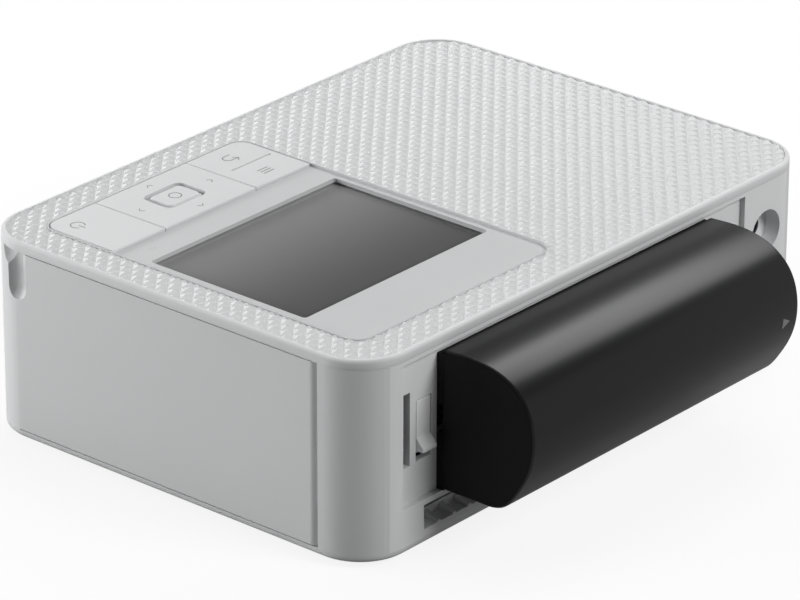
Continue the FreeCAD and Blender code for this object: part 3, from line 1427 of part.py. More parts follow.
def make_feed_motor():
    """The motor: a can, its front boss and its shaft."""
    can = rod("X", MOTOR, "motor_radius", (f"{MOTOR_FACE} - motor_length", MOTOR_FACE))
    rear = rod("X", MOTOR, "hub_radius", (f"{MOTOR_FACE} - motor_length - plate_thickness", MOTOR_FACE))
    return fuse(can, rear)


MOTOR_FACE = "(gear_plane_x - gear_face)"


def make_motor_bracket():
    """The bent plate that hangs the motor on the left frame."""
    front = f"({MOTOR_Y} - motor_radius - plate_foot)"
    face = block((MOTOR_FACE, f"{MOTOR_FACE} + plate_thickness"), (front, f"{MOTOR_Y} + motor_radius / 2"),
                 (f"{MOTOR_Z} - motor_radius / 2", f"{MOTOR_Z} + motor_radius"))
    web = block((MOTOR_FACE, "left_plate_x"), (front, f"{front} + plate_thickness"),
                (f"{MOTOR_Z} - motor_radius / 2", f"{MOTOR_Z} + motor_radius"))
    foot = block(("left_plate_x - plate_thickness", "left_plate_x"),
                 (f"{front} - plate_foot", f"{front} + plate_thickness"),
                 (f"{MOTOR_Z} - motor_radius / 2", f"{MOTOR_Z} + motor_radius"))
    hole = rod("X", MOTOR, "motor_shaft_radius * 2", (f"{MOTOR_FACE} - overrun", f"{MOTOR_FACE} + overrun"))
    return cut(fuse(face, web, foot), hole)


def make_idler_axle():
    """The pin pressed in the left frame that the idler gear turns on."""
    shank = rod("X", IDLER, "axle_radius", (f"{GEAR_FACE[0]} - free_gap", LEFT_IN))
    head = rod("X", IDLER, "axle_radius * 1.8", (f"{GEAR_FACE[0]} - free_gap - plate_thickness / 2",
                                                 f"{GEAR_FACE[0]} - free_gap"))
    collar = rod("X", IDLER, "axle_radius * 1.8", (f"{GEAR_FACE[1]} + free_gap", "left_plate_x"))
    return fuse(shank, head, collar)


# Ink cassette

CASSETTE_BACK = "(cassette_left + cassette_cap)"
CASSETTE_NOSE = "(cassette_right - cassette_cap)"
SUPPLY = ("supply_y", "supply_z")


def ribbon_slot(side):
    """The slot along a tube that the ribbon passes, facing the print line."""
    if side == "supply":
        return block((CASSETTE_BACK, CASSETTE_NOSE),
                     ("supply_y + supply_radius / 2", "supply_y + supply_radius + overrun"),
                     ("supply_z - supply_radius * 0.75", "supply_z - supply_radius * 0.3"))
    return block((CASSETTE_BACK, CASSETTE_NOSE),
                 (f"{TAKE_UP_Y} - take_up_radius - overrun", f"{TAKE_UP_Y} - take_up_radius / 2"),
                 (f"{TAKE_UP_Z} - take_up_radius * 0.7", f"{TAKE_UP_Z} - take_up_radius * 0.25"))


def make_ink_cassette():
    """Two slotted tubes joined by a bar at each end, with a grip at the door end."""
    whole = ("cassette_left", "cassette_right")
    inside = (CASSETTE_BACK, CASSETTE_NOSE)
    tubes = [rod("X", SUPPLY, "supply_radius", whole), rod("X", TAKE_UP, "take_up_radius", whole)]
    hollows = [rod("X", SUPPLY, "supply_radius - cassette_wall", inside),
               rod("X", TAKE_UP, "take_up_radius - cassette_wall", inside)]
    bars = [block((start, end), ("supply_y", TAKE_UP_Y), ("end_bar_low", "end_bar_high"))
            for start, end in (("cassette_left", "cassette_left + end_bar_width"),
                               ("cassette_right - end_bar_width", "cassette_right"))]
    grip = slab(("cassette_right - grip_thickness", "cassette_right"), ("supply_y", TAKE_UP_Y),
                ("end_bar_high - cassette_wall", "end_bar_high + grip_height"))
    flange = block(("eject_lever_x + eject_lever_thickness + free_gap", "cassette_right"),
                   ("supply_y - supply_radius - eject_lever_thickness", "supply_y"),
                   ("eject_lever_z - eject_lever_thickness", "eject_lever_z + eject_lever_thickness * 1.5"))
    bores = [rod("X", SUPPLY, "spool_radius - cassette_wall + running_gap",
                 (f"{whole[0]} - overrun", f"{whole[1]} + overrun")),
             rod("X", TAKE_UP, "spool_radius - cassette_wall + running_gap",
                 (f"{whole[0]} - overrun", f"{whole[1]} + overrun"))]
    body = fuse(cut(fuse(*tubes), *hollows), *bars, grip, flange)
    return cut(body, *bores, *hollows, ribbon_slot("supply"), ribbon_slot("take_up"))


def spool(centre):
    """A ribbon spool: a core between two flanges, with journals in the cassette's ends."""
    inside = (f"{CASSETTE_BACK} + free_gap", f"{CASSETTE_NOSE} - free_gap")
    core = rod("X", centre, "spool_radius", inside)
    journal = rod("X", centre, "spool_radius - cassette_wall",
                  ("cassette_left + free_gap", "cassette_right - free_gap"))
    bore = rod("X", centre, "spool_bore", ("cassette_left - overrun", f"{CASSETTE_BACK} + cassette_cap * 3"))
    return cut(fuse(core, journal), bore)


def make_supply_spool():
    """The spool that the fresh ribbon comes off."""
    return spool(SUPPLY)


def make_take_up_spool():
    """The spool that winds the used ribbon."""
    return spool(TAKE_UP)


def wound(centre, radius):
    """The ribbon wound on a spool."""
    return cut(rod("X", centre, radius, ("roll_left", "roll_right")),
               rod("X", centre, "spool_radius", ("roll_left - overrun", "roll_right + overrun")))


def make_supply_roll():
    """The fresh ribbon."""
    return wound(SUPPLY, "supply_roll_radius")


def make_take_up_roll():
    """The used ribbon."""
    return wound(TAKE_UP, "take_up_roll_radius")


def make_ribbon_web():
    """The stretch of ribbon between the two tubes, over the print line."""
    lift = "web_thickness"
    start = ("supply_y + supply_radius * 0.78", "supply_z - supply_radius * 0.5")
    dip = ("supply_y + supply_radius + web_thickness * 3", "web_z")
    rise = ("capstan_y - pinch_radius * 2", "web_z")
    end = (f"{TAKE_UP_Y} - take_up_radius * 0.82", f"{TAKE_UP_Z} - take_up_radius * 0.45")
    path = [start, dip, rise, end]
    upper = [(y, f"{z} + {lift} * 1.3") for y, z in reversed(path)]
    return profile("YZ", path + upper, "roll_left", "roll_right")


def make_eject_lever():
    """The small lever beside the cassette: a finger towards the door and an arm behind the flange."""
    z = ("eject_lever_z - eject_boss_radius", "eject_lever_z + eject_boss_radius")
    boss = rod("Z", (EJECT_X, "eject_lever_y"), "eject_boss_radius", z)
    arm = block(("eject_lever_x", "eject_lever_x + eject_lever_thickness"),
                ("eject_lever_y", ARM_TIP), ("eject_lever_z - eject_lever_thickness / 2",
                                             "eject_lever_z + eject_lever_thickness / 2"))
    finger = block((EJECT_X, f"{EJECT_X} + eject_lever_finger"),
                   ("eject_lever_y - eject_lever_thickness / 2",
                    "eject_lever_y + eject_lever_thickness / 2"), z)
    bore = rod("Z", (EJECT_X, "eject_lever_y"), "eject_pin_radius + running_gap",
               (f"{z[0]} - overrun", f"{z[1]} + overrun"))
    return cut(fuse(boss, arm, finger), bore)


ARM_TIP = "(supply_y - supply_radius - free_gap)"


def make_eject_pin():
    """The pin that the eject lever turns on, pressed in the right frame's ear."""
    shank = rod("Z", (EJECT_X, "eject_lever_y"), "eject_pin_radius",
                ("eject_lever_z - eject_boss_radius - plate_thickness - free_gap",
                 "eject_lever_z + eject_boss_radius + free_gap"))
    head = rod("Z", (EJECT_X, "eject_lever_y"), "eject_boss_radius * 0.8",
               ("eject_lever_z + eject_boss_radius + free_gap",
                "eject_lever_z + eject_boss_radius + plate_thickness"))
    return fuse(shank, head)


# Print head

HEAD_LEFT = "(bay_centre_x + shaft_stub * 2 - head_width / 2)"
HEAD_RIGHT = "(bay_centre_x + shaft_stub * 2 + head_width / 2)"


def make_thermal_head():
    """The print head: a finned heat sink over the ceramic bar."""
    block_low = "(head_low + head_height * 0.25)"
    sink = block((HEAD_LEFT, HEAD_RIGHT), ("-head_depth / 2", "head_depth / 2"), (block_low, "bracket_low"))
    bar = profile("YZ", [("-head_depth * 0.35", block_low), ("-head_depth * 0.12", "head_low"),
                         ("head_depth * 0.12", "head_low"), ("head_depth * 0.35", block_low)], HEAD_LEFT,
                         HEAD_RIGHT)
    slots = []
    for number in range(3):
        y = f"(-head_fin_pitch + head_fin_pitch * {number})"
        slots.append(block((f"{HEAD_LEFT} + head_depth / 2", f"{HEAD_RIGHT} - head_depth / 2"),
                           (f"{y} - head_fin_pitch / 4", f"{y} + head_fin_pitch / 4"),
                           (f"{block_low} + head_fin_pitch", "bracket_low - head_fin_pitch / 2")))
    return cut(fuse(sink, bar), *slots)


def make_head_bracket():
    """The swinging frame that carries the head over the cassette, on two ears."""
    top = block((HEAD_LEFT, HEAD_RIGHT), ("-head_depth / 2", "head_pivot_y"),
                ("bracket_low", "bracket_low + bracket_thickness"))
    ears = []
    for start in (f"({LEFT_IN} + roller_end_gap)", "(right_plate_x - roller_end_gap - bracket_thickness)"):
        x = (start, f"{start} + bracket_thickness")
        ears.append(rod("X", ("head_pivot_y", "head_pivot_z"), "head_ear_radius", x))
        ears.append(block(x, ("head_pivot_y - head_ear_radius", "head_pivot_y + head_ear_radius"),
                          ("head_pivot_z", "bracket_low + bracket_thickness")))
    rear = block((f"{LEFT_IN} + roller_end_gap", "right_plate_x - roller_end_gap"),
                 ("head_pivot_y - head_ear_radius", "head_pivot_y + head_ear_radius"),
                 ("bracket_low", "bracket_low + bracket_thickness"))
    window = slab((f"{HEAD_LEFT} + head_depth", f"{HEAD_RIGHT} - head_depth"),
                  ("head_depth", "head_pivot_y - head_ear_radius * 2"),
                  ("bracket_low - overrun", "bracket_low + overrun"), "head_ear_radius")
    bore = rod("X", ("head_pivot_y", "head_pivot_z"), "head_shaft_radius + running_gap",
               ("left_plate_x", RIGHT_OUT))
    return cut(fuse(top, rear, *ears), window, bore)


def make_head_shaft():
    """The steel rod between the frames that the head's bracket swings on."""
    return rod("X", ("head_pivot_y", "head_pivot_z"), "head_shaft_radius", ("left_plate_x", RIGHT_OUT))


def make_bay_deck():
    """The plate over the paper bay, cut out round the pickup tyre."""
    deck = block((f"{BAY_LEFT} - bay_rail * 2", f"{BAY_RIGHT} + bay_rail * 2"), (BULKHEAD_REAR, BAY_END),
                 (BAY_HIGH, f"{BAY_HIGH} + deck_thickness"))
    hole = block(("bay_centre_x - pickup_tyre_width / 2 - deck_thickness",
                  "bay_centre_x + pickup_tyre_width / 2 + deck_thickness"),
                 ("pickup_y - pickup_radius - deck_thickness / 2",
                  "pickup_y + pickup_radius + deck_thickness"),
                 (f"{BAY_HIGH} - overrun", f"{BAY_HIGH} + overrun"))
    return cut(deck, hole)


def make_exit_guide():
    """The sloping plate that leads the paper from the rollers down to the rear slot."""
    front = ("capstan_y + capstan_radius + guide_thickness", "capstan_z + capstan_radius / 2")
    rear = (f"{REAR} - trough_depth - trough_wall", "slot_low")
    path = [front, (front[0], f"{front[1]} - guide_thickness"), (rear[0], f"{rear[1]} - guide_thickness"),
            rear]
    sheet_part = profile("YZ", path, f"{LEFT_IN}", "right_plate_x")
    return sheet_part


# Electronics and sockets


def make_main_board():
    """The main circuit board with its taller components."""
    board = block(("main_board_left", "main_board_right"), ("main_board_front", "main_board_rear"),
                  ("main_board_z", "main_board_z + board_thickness"))
    parts = []
    for x_share, y_share, size_share, height in MAIN_BOARD_SHARES:
        x = f"(main_board_left + (main_board_right - main_board_left) * {x_share})"
        y = f"(main_board_front + (main_board_rear - main_board_front) * {y_share})"
        side = f"(main_board_right - main_board_left) * {size_share}"
        parts.append(block((x, f"{x} + {side}"), (y, f"{y} + {side}"),
                           ("main_board_z + board_thickness / 2",
                            f"main_board_z + board_thickness * {height}")))
    return fuse(board, *parts)


# Chips on the main board: place along X and Y, side, and height in board thicknesses
MAIN_BOARD_SHARES = (
    (0.08, 0.12, 0.18, 3.0),
    (0.42, 0.1, 0.22, 2.2),
    (0.72, 0.35, 0.14, 2.6),
    (0.1, 0.55, 0.2, 3.4),
    (0.5, 0.62, 0.26, 2.0),
)


def make_card_reader():
    """The memory card socket behind the slot."""
    wide = "(card_slot_width / 2 + card_reader_wall)"
    tall = "(card_slot_height / 2 + card_reader_wall)"
    start = f"({FRONT} + wall * 2)"
    body = block((f"card_centre_x - {wide}", f"card_centre_x + {wide}"),
                 (start, f"{start} + card_reader_depth"),
                 (f"card_slot_z - {tall}", f"card_slot_z + {tall}"))
    path = block(("card_centre_x - card_slot_width / 2", "card_centre_x + card_slot_width / 2"),
                 (f"{start} - overrun", f"{start} + card_reader_depth - card_reader_wall"),
                 ("card_slot_z - card_slot_height / 2", "card_slot_z + card_slot_height / 2"))
    return cut(body, path)


def make_usb_socket():
    """The square data socket in the left wall, with its tongue."""
    x = (f"(-{HALF} + wall / 4)", f"(-{HALF} + wall / 4 + usb_length)")
    shell = block(x, ("usb_y - usb_width / 2", "usb_y + usb_width / 2"),
                  ("usb_z - usb_height / 2", "usb_z + usb_height / 2"))
    mouth = block((f"{x[0]} - overrun", f"{x[1]} - wall"),
                  ("usb_y - usb_width / 2 + wall / 2", "usb_y + usb_width / 2 - wall / 2"),
                  ("usb_z - usb_height / 2 + wall / 2", "usb_z + usb_height / 2 - wall / 2"))
    tongue = block((f"{x[0]} + wall", x[1]), ("usb_y - usb_width / 4", "usb_y + usb_width / 4"),
                   ("usb_z - usb_height / 6", "usb_z + usb_height / 6"))
    foot = block((f"{x[1]} - wall", x[1]), ("usb_y - usb_width / 2", "usb_y + usb_width / 2"),
                 (FLOOR_TOP, "usb_z"))
    return fuse(cut(shell, mouth), tongue, foot)


for maker in (
        make_base_plate, make_feet, make_case_screws, make_main_case, make_front_fascia, make_front_flap,
        make_flap_pins, make_ink_door, make_door_pins, make_top_cover, make_rear_panel, make_release_lever,
        make_dc_jack, make_battery_shell, make_battery_base, make_battery_cells, make_battery_terminals,
        make_control_panel, make_power_key, make_menu_back_key, make_nav_rocker, make_ok_key,
        make_nav_pivot_ring, make_key_mat, make_key_board, make_display_window, make_display_module,
        make_status_lamp, make_left_side_plate, make_right_side_plate, make_platen_roller,
        make_capstan_roller, make_pinch_roller, make_pickup_roller, make_pickup_pulley, make_feed_belt,
        make_idler_gear, make_idler_axle, make_platen_gear, make_capstan_gear, make_take_up_gear,
        make_motor_pinion, make_feed_motor, make_motor_bracket, make_ink_cassette,
        make_supply_spool, make_take_up_spool, make_supply_roll, make_take_up_roll, make_ribbon_web,
        make_eject_lever, make_eject_pin, make_thermal_head, make_head_bracket, make_head_shaft,
        make_bay_deck, make_exit_guide, make_main_board, make_card_reader, make_usb_socket):
    piece(maker(), maker.__name__.removeprefix("make_"))

doc.recompute()
failed = [item.Name for item in doc.Objects if "Invalid" in item.State or "Error" in item.State]
if failed:
    raise RuntimeError(f"objects that did not build: {failed}")
for name, item in nodes.items():
    shape = item.Shape
    if shape.isNull() or not shape.isValid() or not shape.Solids:
        raise RuntimeError(f"{name} has no valid solid")

os.makedirs("parts", exist_ok=True)
for name, item in nodes.items():
    item.Shape.exportStep(f"parts/{name}.step")
    print(f"{name}: {len(item.Shape.Solids)} solid(s), {item.Shape.Volume / 1000:.2f} cm3")
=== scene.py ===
# %% [markdown]
# A compact photo printer, dressed over its CAD frame
#
# The printer is a flat box with rounded upright corners. Its lid carries a fine raised lattice, a smooth
# panel with keys and a screen, and its back carries a D-shaped battery pack. The CAD model gives every
# solid its place. This script gives the visible ones their surfaces and finishes.
# We load the frame first.

# %% Load the frame
import bmesh
import bpy
import json
import math
import numpy as np
from mathutils import Matrix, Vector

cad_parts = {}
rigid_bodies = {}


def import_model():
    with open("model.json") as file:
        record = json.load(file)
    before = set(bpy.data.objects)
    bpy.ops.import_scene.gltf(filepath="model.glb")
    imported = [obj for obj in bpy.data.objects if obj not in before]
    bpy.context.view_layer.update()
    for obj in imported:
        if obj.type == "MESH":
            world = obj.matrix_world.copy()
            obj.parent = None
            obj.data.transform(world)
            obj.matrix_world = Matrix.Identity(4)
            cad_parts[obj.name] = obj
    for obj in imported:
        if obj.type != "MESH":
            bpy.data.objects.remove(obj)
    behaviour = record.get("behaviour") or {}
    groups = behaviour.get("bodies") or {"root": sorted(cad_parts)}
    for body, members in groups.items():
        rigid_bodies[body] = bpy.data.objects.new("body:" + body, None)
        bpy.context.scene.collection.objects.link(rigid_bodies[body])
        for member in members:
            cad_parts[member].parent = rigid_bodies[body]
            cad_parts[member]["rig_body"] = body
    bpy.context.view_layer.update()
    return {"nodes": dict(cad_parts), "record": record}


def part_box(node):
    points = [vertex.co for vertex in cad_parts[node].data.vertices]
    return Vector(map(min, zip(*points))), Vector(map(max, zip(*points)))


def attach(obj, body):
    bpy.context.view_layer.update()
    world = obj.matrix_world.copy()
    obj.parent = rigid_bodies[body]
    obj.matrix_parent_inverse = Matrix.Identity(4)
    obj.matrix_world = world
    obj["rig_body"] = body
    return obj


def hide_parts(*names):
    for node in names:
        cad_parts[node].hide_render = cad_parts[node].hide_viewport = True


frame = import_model()
nodes = frame["nodes"]
print("CAD nodes:", len(nodes))

# %% [markdown]
# Printer space
#
# Everything below is worked out in millimetres in the printer's own space: x and y are 0 at the middle of
# the case, z is 0 on the table. The CAD model's frame is the same, but moved along y so that the battery
# pack is counted in. The lid's box tells us by how much, so nothing has to be typed twice.

# %% Millimetres and the case's own middle
MM = 0.001
lid_low, lid_high = (np.array(corner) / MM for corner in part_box("top_cover"))
SHIFT = np.array([0.0, (lid_low[1] + lid_high[1]) / 2, 0.0])
HALF = (lid_high[0] - lid_low[0]) / 2
DEEP = (lid_high[1] - lid_low[1]) / 2
TOP = lid_high[2]
RIM_LOW = lid_low[2]
CORNER = 14.2
print("case", HALF * 2, DEEP * 2, TOP, "shift", SHIFT[1])


def node_box(name):
    """A CAD node's lowest and highest corners in printer space, in millimetres."""
    low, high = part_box(name)
    return np.array(low) / MM - SHIFT, np.array(high) / MM - SHIFT


# %% [markdown]
# Camera
#
# The picture was taken from the rear right, about 25 degrees up, with a long lens: the case's edges hardly
# converge. A camera is a point and three directions. The directions are built from azimuth, elevation and
# a very small roll, in the order right, up, back, which are the columns of Blender's camera matrix.

# %% Camera at the picture's angle
AZIMUTH, ELEVATION, ROLL = (math.radians(a) for a in (130.468, 24.594, 0.166))
back = np.array([math.sin(AZIMUTH) * math.cos(ELEVATION),
                 -math.cos(AZIMUTH) * math.cos(ELEVATION),
                 math.sin(ELEVATION)])
level = np.cross([0.0, 0.0, 1.0], back)
level /= np.linalg.norm(level)
upright = np.cross(back, level)
right = level * math.cos(ROLL) + upright * math.sin(ROLL)
up = upright * math.cos(ROLL) - level * math.sin(ROLL)
EYE_IN_MM = (993.904, 847.522, 623.152)
eye = (np.array(EYE_IN_MM) + SHIFT) * MM

camera = bpy.data.objects.new("camera", bpy.data.cameras.new("camera"))
camera.data.sensor_width = 36.0
camera.data.lens = 243.0
camera.data.clip_start = 0.05
camera.data.clip_end = 50.0
pose = np.eye(4)
pose[:3] = np.column_stack([right, up, back, eye])
camera.matrix_world = Matrix(pose.tolist())
bpy.context.scene.collection.objects.link(camera)
bpy.context.scene.camera = camera
bpy.context.scene.view_settings.view_transform = "Standard"
print("eye", eye.round(4))

# %% [markdown]
# Mesh helpers
#
# A surface here is a table of points: a shape is a function of two parameters on a grid, and the faces
# are the grid's little squares. One helper makes the squares for any grid, another turns points and faces
# into a Blender object. Shading is smooth, with a sharp edge wherever two faces meet at more than the
# crease angle, which is how turned and moulded parts look. Two more helpers read a mesh's points and put
# them back, so that a copy of a CAD solid can be changed as one array.


# %% Grids and pieces
def grid_faces(rows, columns, wrap=False):
    """The squares of a grid of points, rows by columns; wrap joins the last column to the first."""
    r = np.arange(rows - 1)[:, None]
    c = np.arange(columns if wrap else columns - 1)[None, :]
    n = (c + 1) % columns
    here = r * columns
    above = here + columns
    corners = np.broadcast_arrays(here + c, here + n, above + n, above + c)
    return np.stack(corners, axis=-1).reshape(-1, 4)


def place(name, mesh, body):
    """An object that shows a mesh and rides on a CAD body."""
    piece = bpy.data.objects.new(name, mesh)
    bpy.context.scene.collection.objects.link(piece)
    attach(piece, body)
    return piece


def make_piece(name, points, faces, body, material, crease=32.0):
    """A piece from points in printer millimetres and faces; the crease angle is in degrees."""
    mesh = bpy.data.meshes.new(name)
    places = (np.asarray(points) + SHIFT) * MM
    mesh.from_pydata(places.tolist(), (), [list(f) for f in faces], shade_flat=False)
    mesh.validate()
    mesh.set_sharp_from_angle(angle=math.radians(crease))
    mesh.materials.append(material)
    return place(name, mesh, body)


def outward(piece):
    """Turns a closed piece's faces so that they all point outwards."""
    shape = bmesh.new()
    shape.from_mesh(piece.data)
    bmesh.ops.remove_doubles(shape, verts=shape.verts, dist=1e-7)
    bmesh.ops.recalc_face_normals(shape, faces=shape.faces)
    shape.to_mesh(piece.data)
    shape.free()
    return piece


def read_points(mesh):
    """A mesh's points in printer millimetres, one to a row."""
    flat = np.empty(len(mesh.vertices) * 3)
    mesh.vertices.foreach_get("co", flat)
    return flat.reshape(-1, 3) / MM - SHIFT


def write_points(mesh, points):
    """Puts points in printer millimetres back into a mesh."""
    mesh.vertices.foreach_set("co", ((points + SHIFT) * MM).ravel())
    mesh.update()


# %% [markdown]
# Finishes
#
# Most of the printer is one pale grey plastic, moulded in tools with a very fine spark-eroded grain. It is
# neither shiny nor dull. One recipe serves all plastics: a base colour that drifts by a percent or two over
# a few centimetres, a roughness that drifts with it, and a fine bump for the grain. Each finish sets its
# own numbers. The patterns read Object coordinates, so they stay put on the piece, whatever its mesh.


# %% Recipe for plastics, rubbers and metals
ROUGH_DRIFT = 0.03
DRIFTS_PER_METRE = 24.0


def blank(name):
    """A new node material: the material, its node tree and its shader."""
    material = bpy.data.materials.new(name)
    material.use_nodes = True
    return material, material.node_tree, material.node_tree.nodes["Principled BSDF"]


def finish(name, colour, rough, grain=0.3, depth=0.004, drift=0.03, metal=0.0, stretch=None, spec=0.5):
    """A procedural surface: grain and depth in millimetres, drift as a share of the colour."""
    material, tree, shader = blank(name)
    where = tree.nodes.new("ShaderNodeTexCoord")
    spread = tree.nodes.new("ShaderNodeMapping")
    spread.inputs["Scale"].default_value = stretch or (1.0, 1.0, 1.0)
    tree.links.new(where.outputs["Object"], spread.inputs["Vector"])

    fine = tree.nodes.new("ShaderNodeTexNoise")
    fine.inputs["Scale"].default_value = 1.0 / (grain * MM)
    fine.inputs["Detail"].default_value = 2.0
    tree.links.new(spread.outputs["Vector"], fine.inputs["Vector"])
    bump = tree.nodes.new("ShaderNodeBump")
    bump.inputs["Strength"].default_value = 1.0
    bump.inputs["Distance"].default_value = depth * MM
    tree.links.new(fine.outputs["Fac"], bump.inputs["Height"])
    tree.links.new(bump.outputs["Normal"], shader.inputs["Normal"])

    broad = tree.nodes.new("ShaderNodeTexNoise")
    broad.inputs["Scale"].default_value = DRIFTS_PER_METRE
    broad.inputs["Detail"].default_value = 3.0
    tree.links.new(where.outputs["Object"], broad.inputs["Vector"])
    shade = tree.nodes.new("ShaderNodeMix")
    shade.data_type = "RGBA"
    shade.inputs["A"].default_value = (*(c * (1.0 - drift) for c in colour), 1.0)
    shade.inputs["B"].default_value = (*(min(1.0, c * (1.0 + drift)) for c in colour), 1.0)
    tree.links.new(broad.outputs["Fac"], shade.inputs["Factor"])
    tree.links.new(shade.outputs["Result"], shader.inputs["Base Color"])
    sheen = tree.nodes.new("ShaderNodeMapRange")
    sheen.inputs["To Min"].default_value = rough * (1.0 - ROUGH_DRIFT)
    sheen.inputs["To Max"].default_value = rough * (1.0 + ROUGH_DRIFT)
    tree.links.new(broad.outputs["Fac"], sheen.inputs["Value"])
    tree.links.new(sheen.outputs["Result"], shader.inputs["Roughness"])

    shader.inputs["Metallic"].default_value = metal
    shader.inputs["Specular IOR Level"].default_value = spec
    material.diffuse_color = (*colour, 1.0)
    return material


# %% [markdown]
# The printer's greys are all a trace cool, so one number gives each. The numbers differ a little from shell
# to shell. The base, the release lever and the card reader are painted lighter than the case: painted light
# that stands in for the floor's bounce under the pack, and for the shade of the pack and of the slot's depth.
# The lid is the glossiest, because its pyramids are polished.

# %% Table of finishes
def cool(grey):
    """A grey with a trace of blue."""
    return grey, grey + 0.005, grey + 0.01


BATTERY_BLACK = (0.006, 0.006, 0.0065)
case_plastic = finish("pale satin plastic", cool(0.66), 0.42)
lid_plastic = finish("pale lattice plastic", cool(0.63), 0.27, depth=0.001, drift=0.01)
rim_plastic = finish("pale rim plastic", cool(0.70), 0.42, depth=0.002)
panel_plastic = finish("pale smooth plastic", cool(0.595), 0.40, depth=0.001)
key_plastic = finish("key plastic", cool(0.695), 0.38, depth=0.001)
rear_plastic = finish("pale rear plastic", cool(0.74), 0.42)
# Painted light: the base is lighter than the case, standing in for the floor's bounce under the pack.
base_plastic_painted_light = finish("base plastic, painted light", cool(0.62), 0.50, depth=0.006)
# Painted light: the lever is lighter than the case to make up for the battery pack's shade on it.
lever_plastic_painted_light = finish("pale lever plastic, painted light", cool(0.86), 0.42, depth=0.002)
# Painted light: the card reader is lighter to make up for the shade deep in its slot.
reader_plastic_painted_light = finish("pale reader plastic, painted light", cool(0.86), 0.5)
battery_plastic = finish("near-black satin plastic", BATTERY_BLACK, 0.31, grain=0.25, depth=0.003, spec=0.42)
battery_end = finish("near-black matt plastic", BATTERY_BLACK, 0.5, depth=0.006, spec=0.15)
inner_plastic = finish("black inner plastic", (0.03, 0.03, 0.032), 0.50)
acetal = finish("natural acetal", (0.80, 0.79, 0.73), 0.35, depth=0.001)
ink_plastic = finish("dark cassette plastic", (0.045, 0.045, 0.05), 0.45)
film = finish("coated film", (0.03, 0.02, 0.035), 0.18, depth=0.0005)
rubber = finish("black rubber", (0.02, 0.02, 0.02), 0.75, grain=0.2, depth=0.01, spec=0.3)
bright_steel = finish("drawn steel", (0.60, 0.61, 0.63), 0.22, grain=0.15, depth=0.001, metal=1.0,
                      stretch=(0.05, 1, 1))
zinc_steel = finish("zinc plated sheet", (0.58, 0.59, 0.60), 0.38, grain=0.8, depth=0.002, drift=0.08,
                    metal=1.0)
aluminium = finish("extruded aluminium", (0.72, 0.73, 0.75), 0.34, grain=0.2, depth=0.002, metal=1.0,
                   stretch=(0.04, 1, 1))
board_mask = finish("green solder mask", (0.02, 0.13, 0.06), 0.30, grain=1.2, depth=0.002, drift=0.12)
cell_wrap = finish("blue cell wrap", (0.05, 0.14, 0.34), 0.28, depth=0.001)
ink_mark = finish("grey printed ink", (0.24, 0.245, 0.25), 0.5, depth=0.001)
white_mark = finish("pale printed ink", (0.20, 0.20, 0.20), 0.5, depth=0.001)
gasket_grey = finish("grey gasket", (0.22, 0.22, 0.225), 0.6, depth=0.001)
print("finishes:", len(bpy.data.materials))

# %% [markdown]
# Which node gets which finish
#
# The record sorts the nodes into slots. A CAD node whose shape is already right keeps its mesh and only
# gets the finish of its slot, so this is one table and one loop. Four nodes differ from their slot.

# %% Finishes on the CAD nodes
BY_SLOT = {
    "case": case_plastic, "lid": lid_plastic, "panel": panel_plastic, "keys": key_plastic,
    "base": base_plastic_painted_light, "battery_case": battery_plastic, "cells": cell_wrap,
    "rubber_feet": rubber, "roller_rubber": rubber, "belt": rubber, "steel": bright_steel,
    "plate_steel": zinc_steel, "mechanism": inner_plastic, "gear_plastic": acetal,
    "ink_shell": ink_plastic, "ribbon": film, "heat_sink": aluminium, "board": board_mask,
}
BY_NODE = {"rear_panel": rear_plastic, "release_lever": lever_plastic_painted_light, "card_reader": reader_plastic_painted_light,
           "battery_base": battery_end}
slot_of = {entry["node"]: entry["material_slot"] for entry in frame["record"]["subparts"]}


def dress(node, material):
    """Gives a CAD node one finish."""
    nodes[node].data.materials.clear()
    nodes[node].data.materials.append(material)


for node in nodes:
    chosen = BY_NODE.get(node) or BY_SLOT.get(slot_of[node])
    if chosen:
        dress(node, chosen)
print("slots in use:", sorted(set(slot_of.values())))

# %% [markdown]
# Softened shells
#
# A moulded shell never has a knife edge: each edge is rounded by a tenth or two of a millimetre, and that
# thin line catches the light along every seam. The CAD solids have sharp seams. So the outer shells are
# copied, their loose triangles are merged, flat areas are joined into single faces, and a Bevel modifier
# rounds the remaining hard edges. A Weighted Normal modifier then lets the large faces decide how the
# shading runs, so that flat faces stay flat up to their rounded edges. The copy stands for the node,
# which stays in the frame unseen.


# %% Copies with rounded edges
MERGE_WITHIN = 1e-6
FLAT_WITHIN = 0.4
BEVEL_FROM = 38.0
SHARP_FROM = 30.0


def softened(node, radius):
    """A merged copy of a CAD node that stands for it, with edges rounded by a radius in millimetres."""
    mesh = nodes[node].data.copy()
    mesh.name = node + "_skin"
    shape = bmesh.new()
    shape.from_mesh(mesh)
    bmesh.ops.remove_doubles(shape, verts=shape.verts, dist=MERGE_WITHIN)
    bmesh.ops.dissolve_limit(shape, angle_limit=math.radians(FLAT_WITHIN), verts=shape.verts,
                             edges=shape.edges)
    shape.to_mesh(mesh)
    shape.free()
    mesh.shade_smooth()
    mesh.set_sharp_from_angle(angle=math.radians(SHARP_FROM))
    piece = place(node + "_skin", mesh, nodes[node]["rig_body"])
    if radius:
        bevel = piece.modifiers.new("soft edges", "BEVEL")
        bevel.width = radius * MM
        bevel.segments = 2
        bevel.limit_method = "ANGLE"
        bevel.angle_limit = math.radians(BEVEL_FROM)
    even = piece.modifiers.new("even normals", "WEIGHTED_NORMAL")
    even.keep_sharp = True
    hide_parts(node)
    return piece


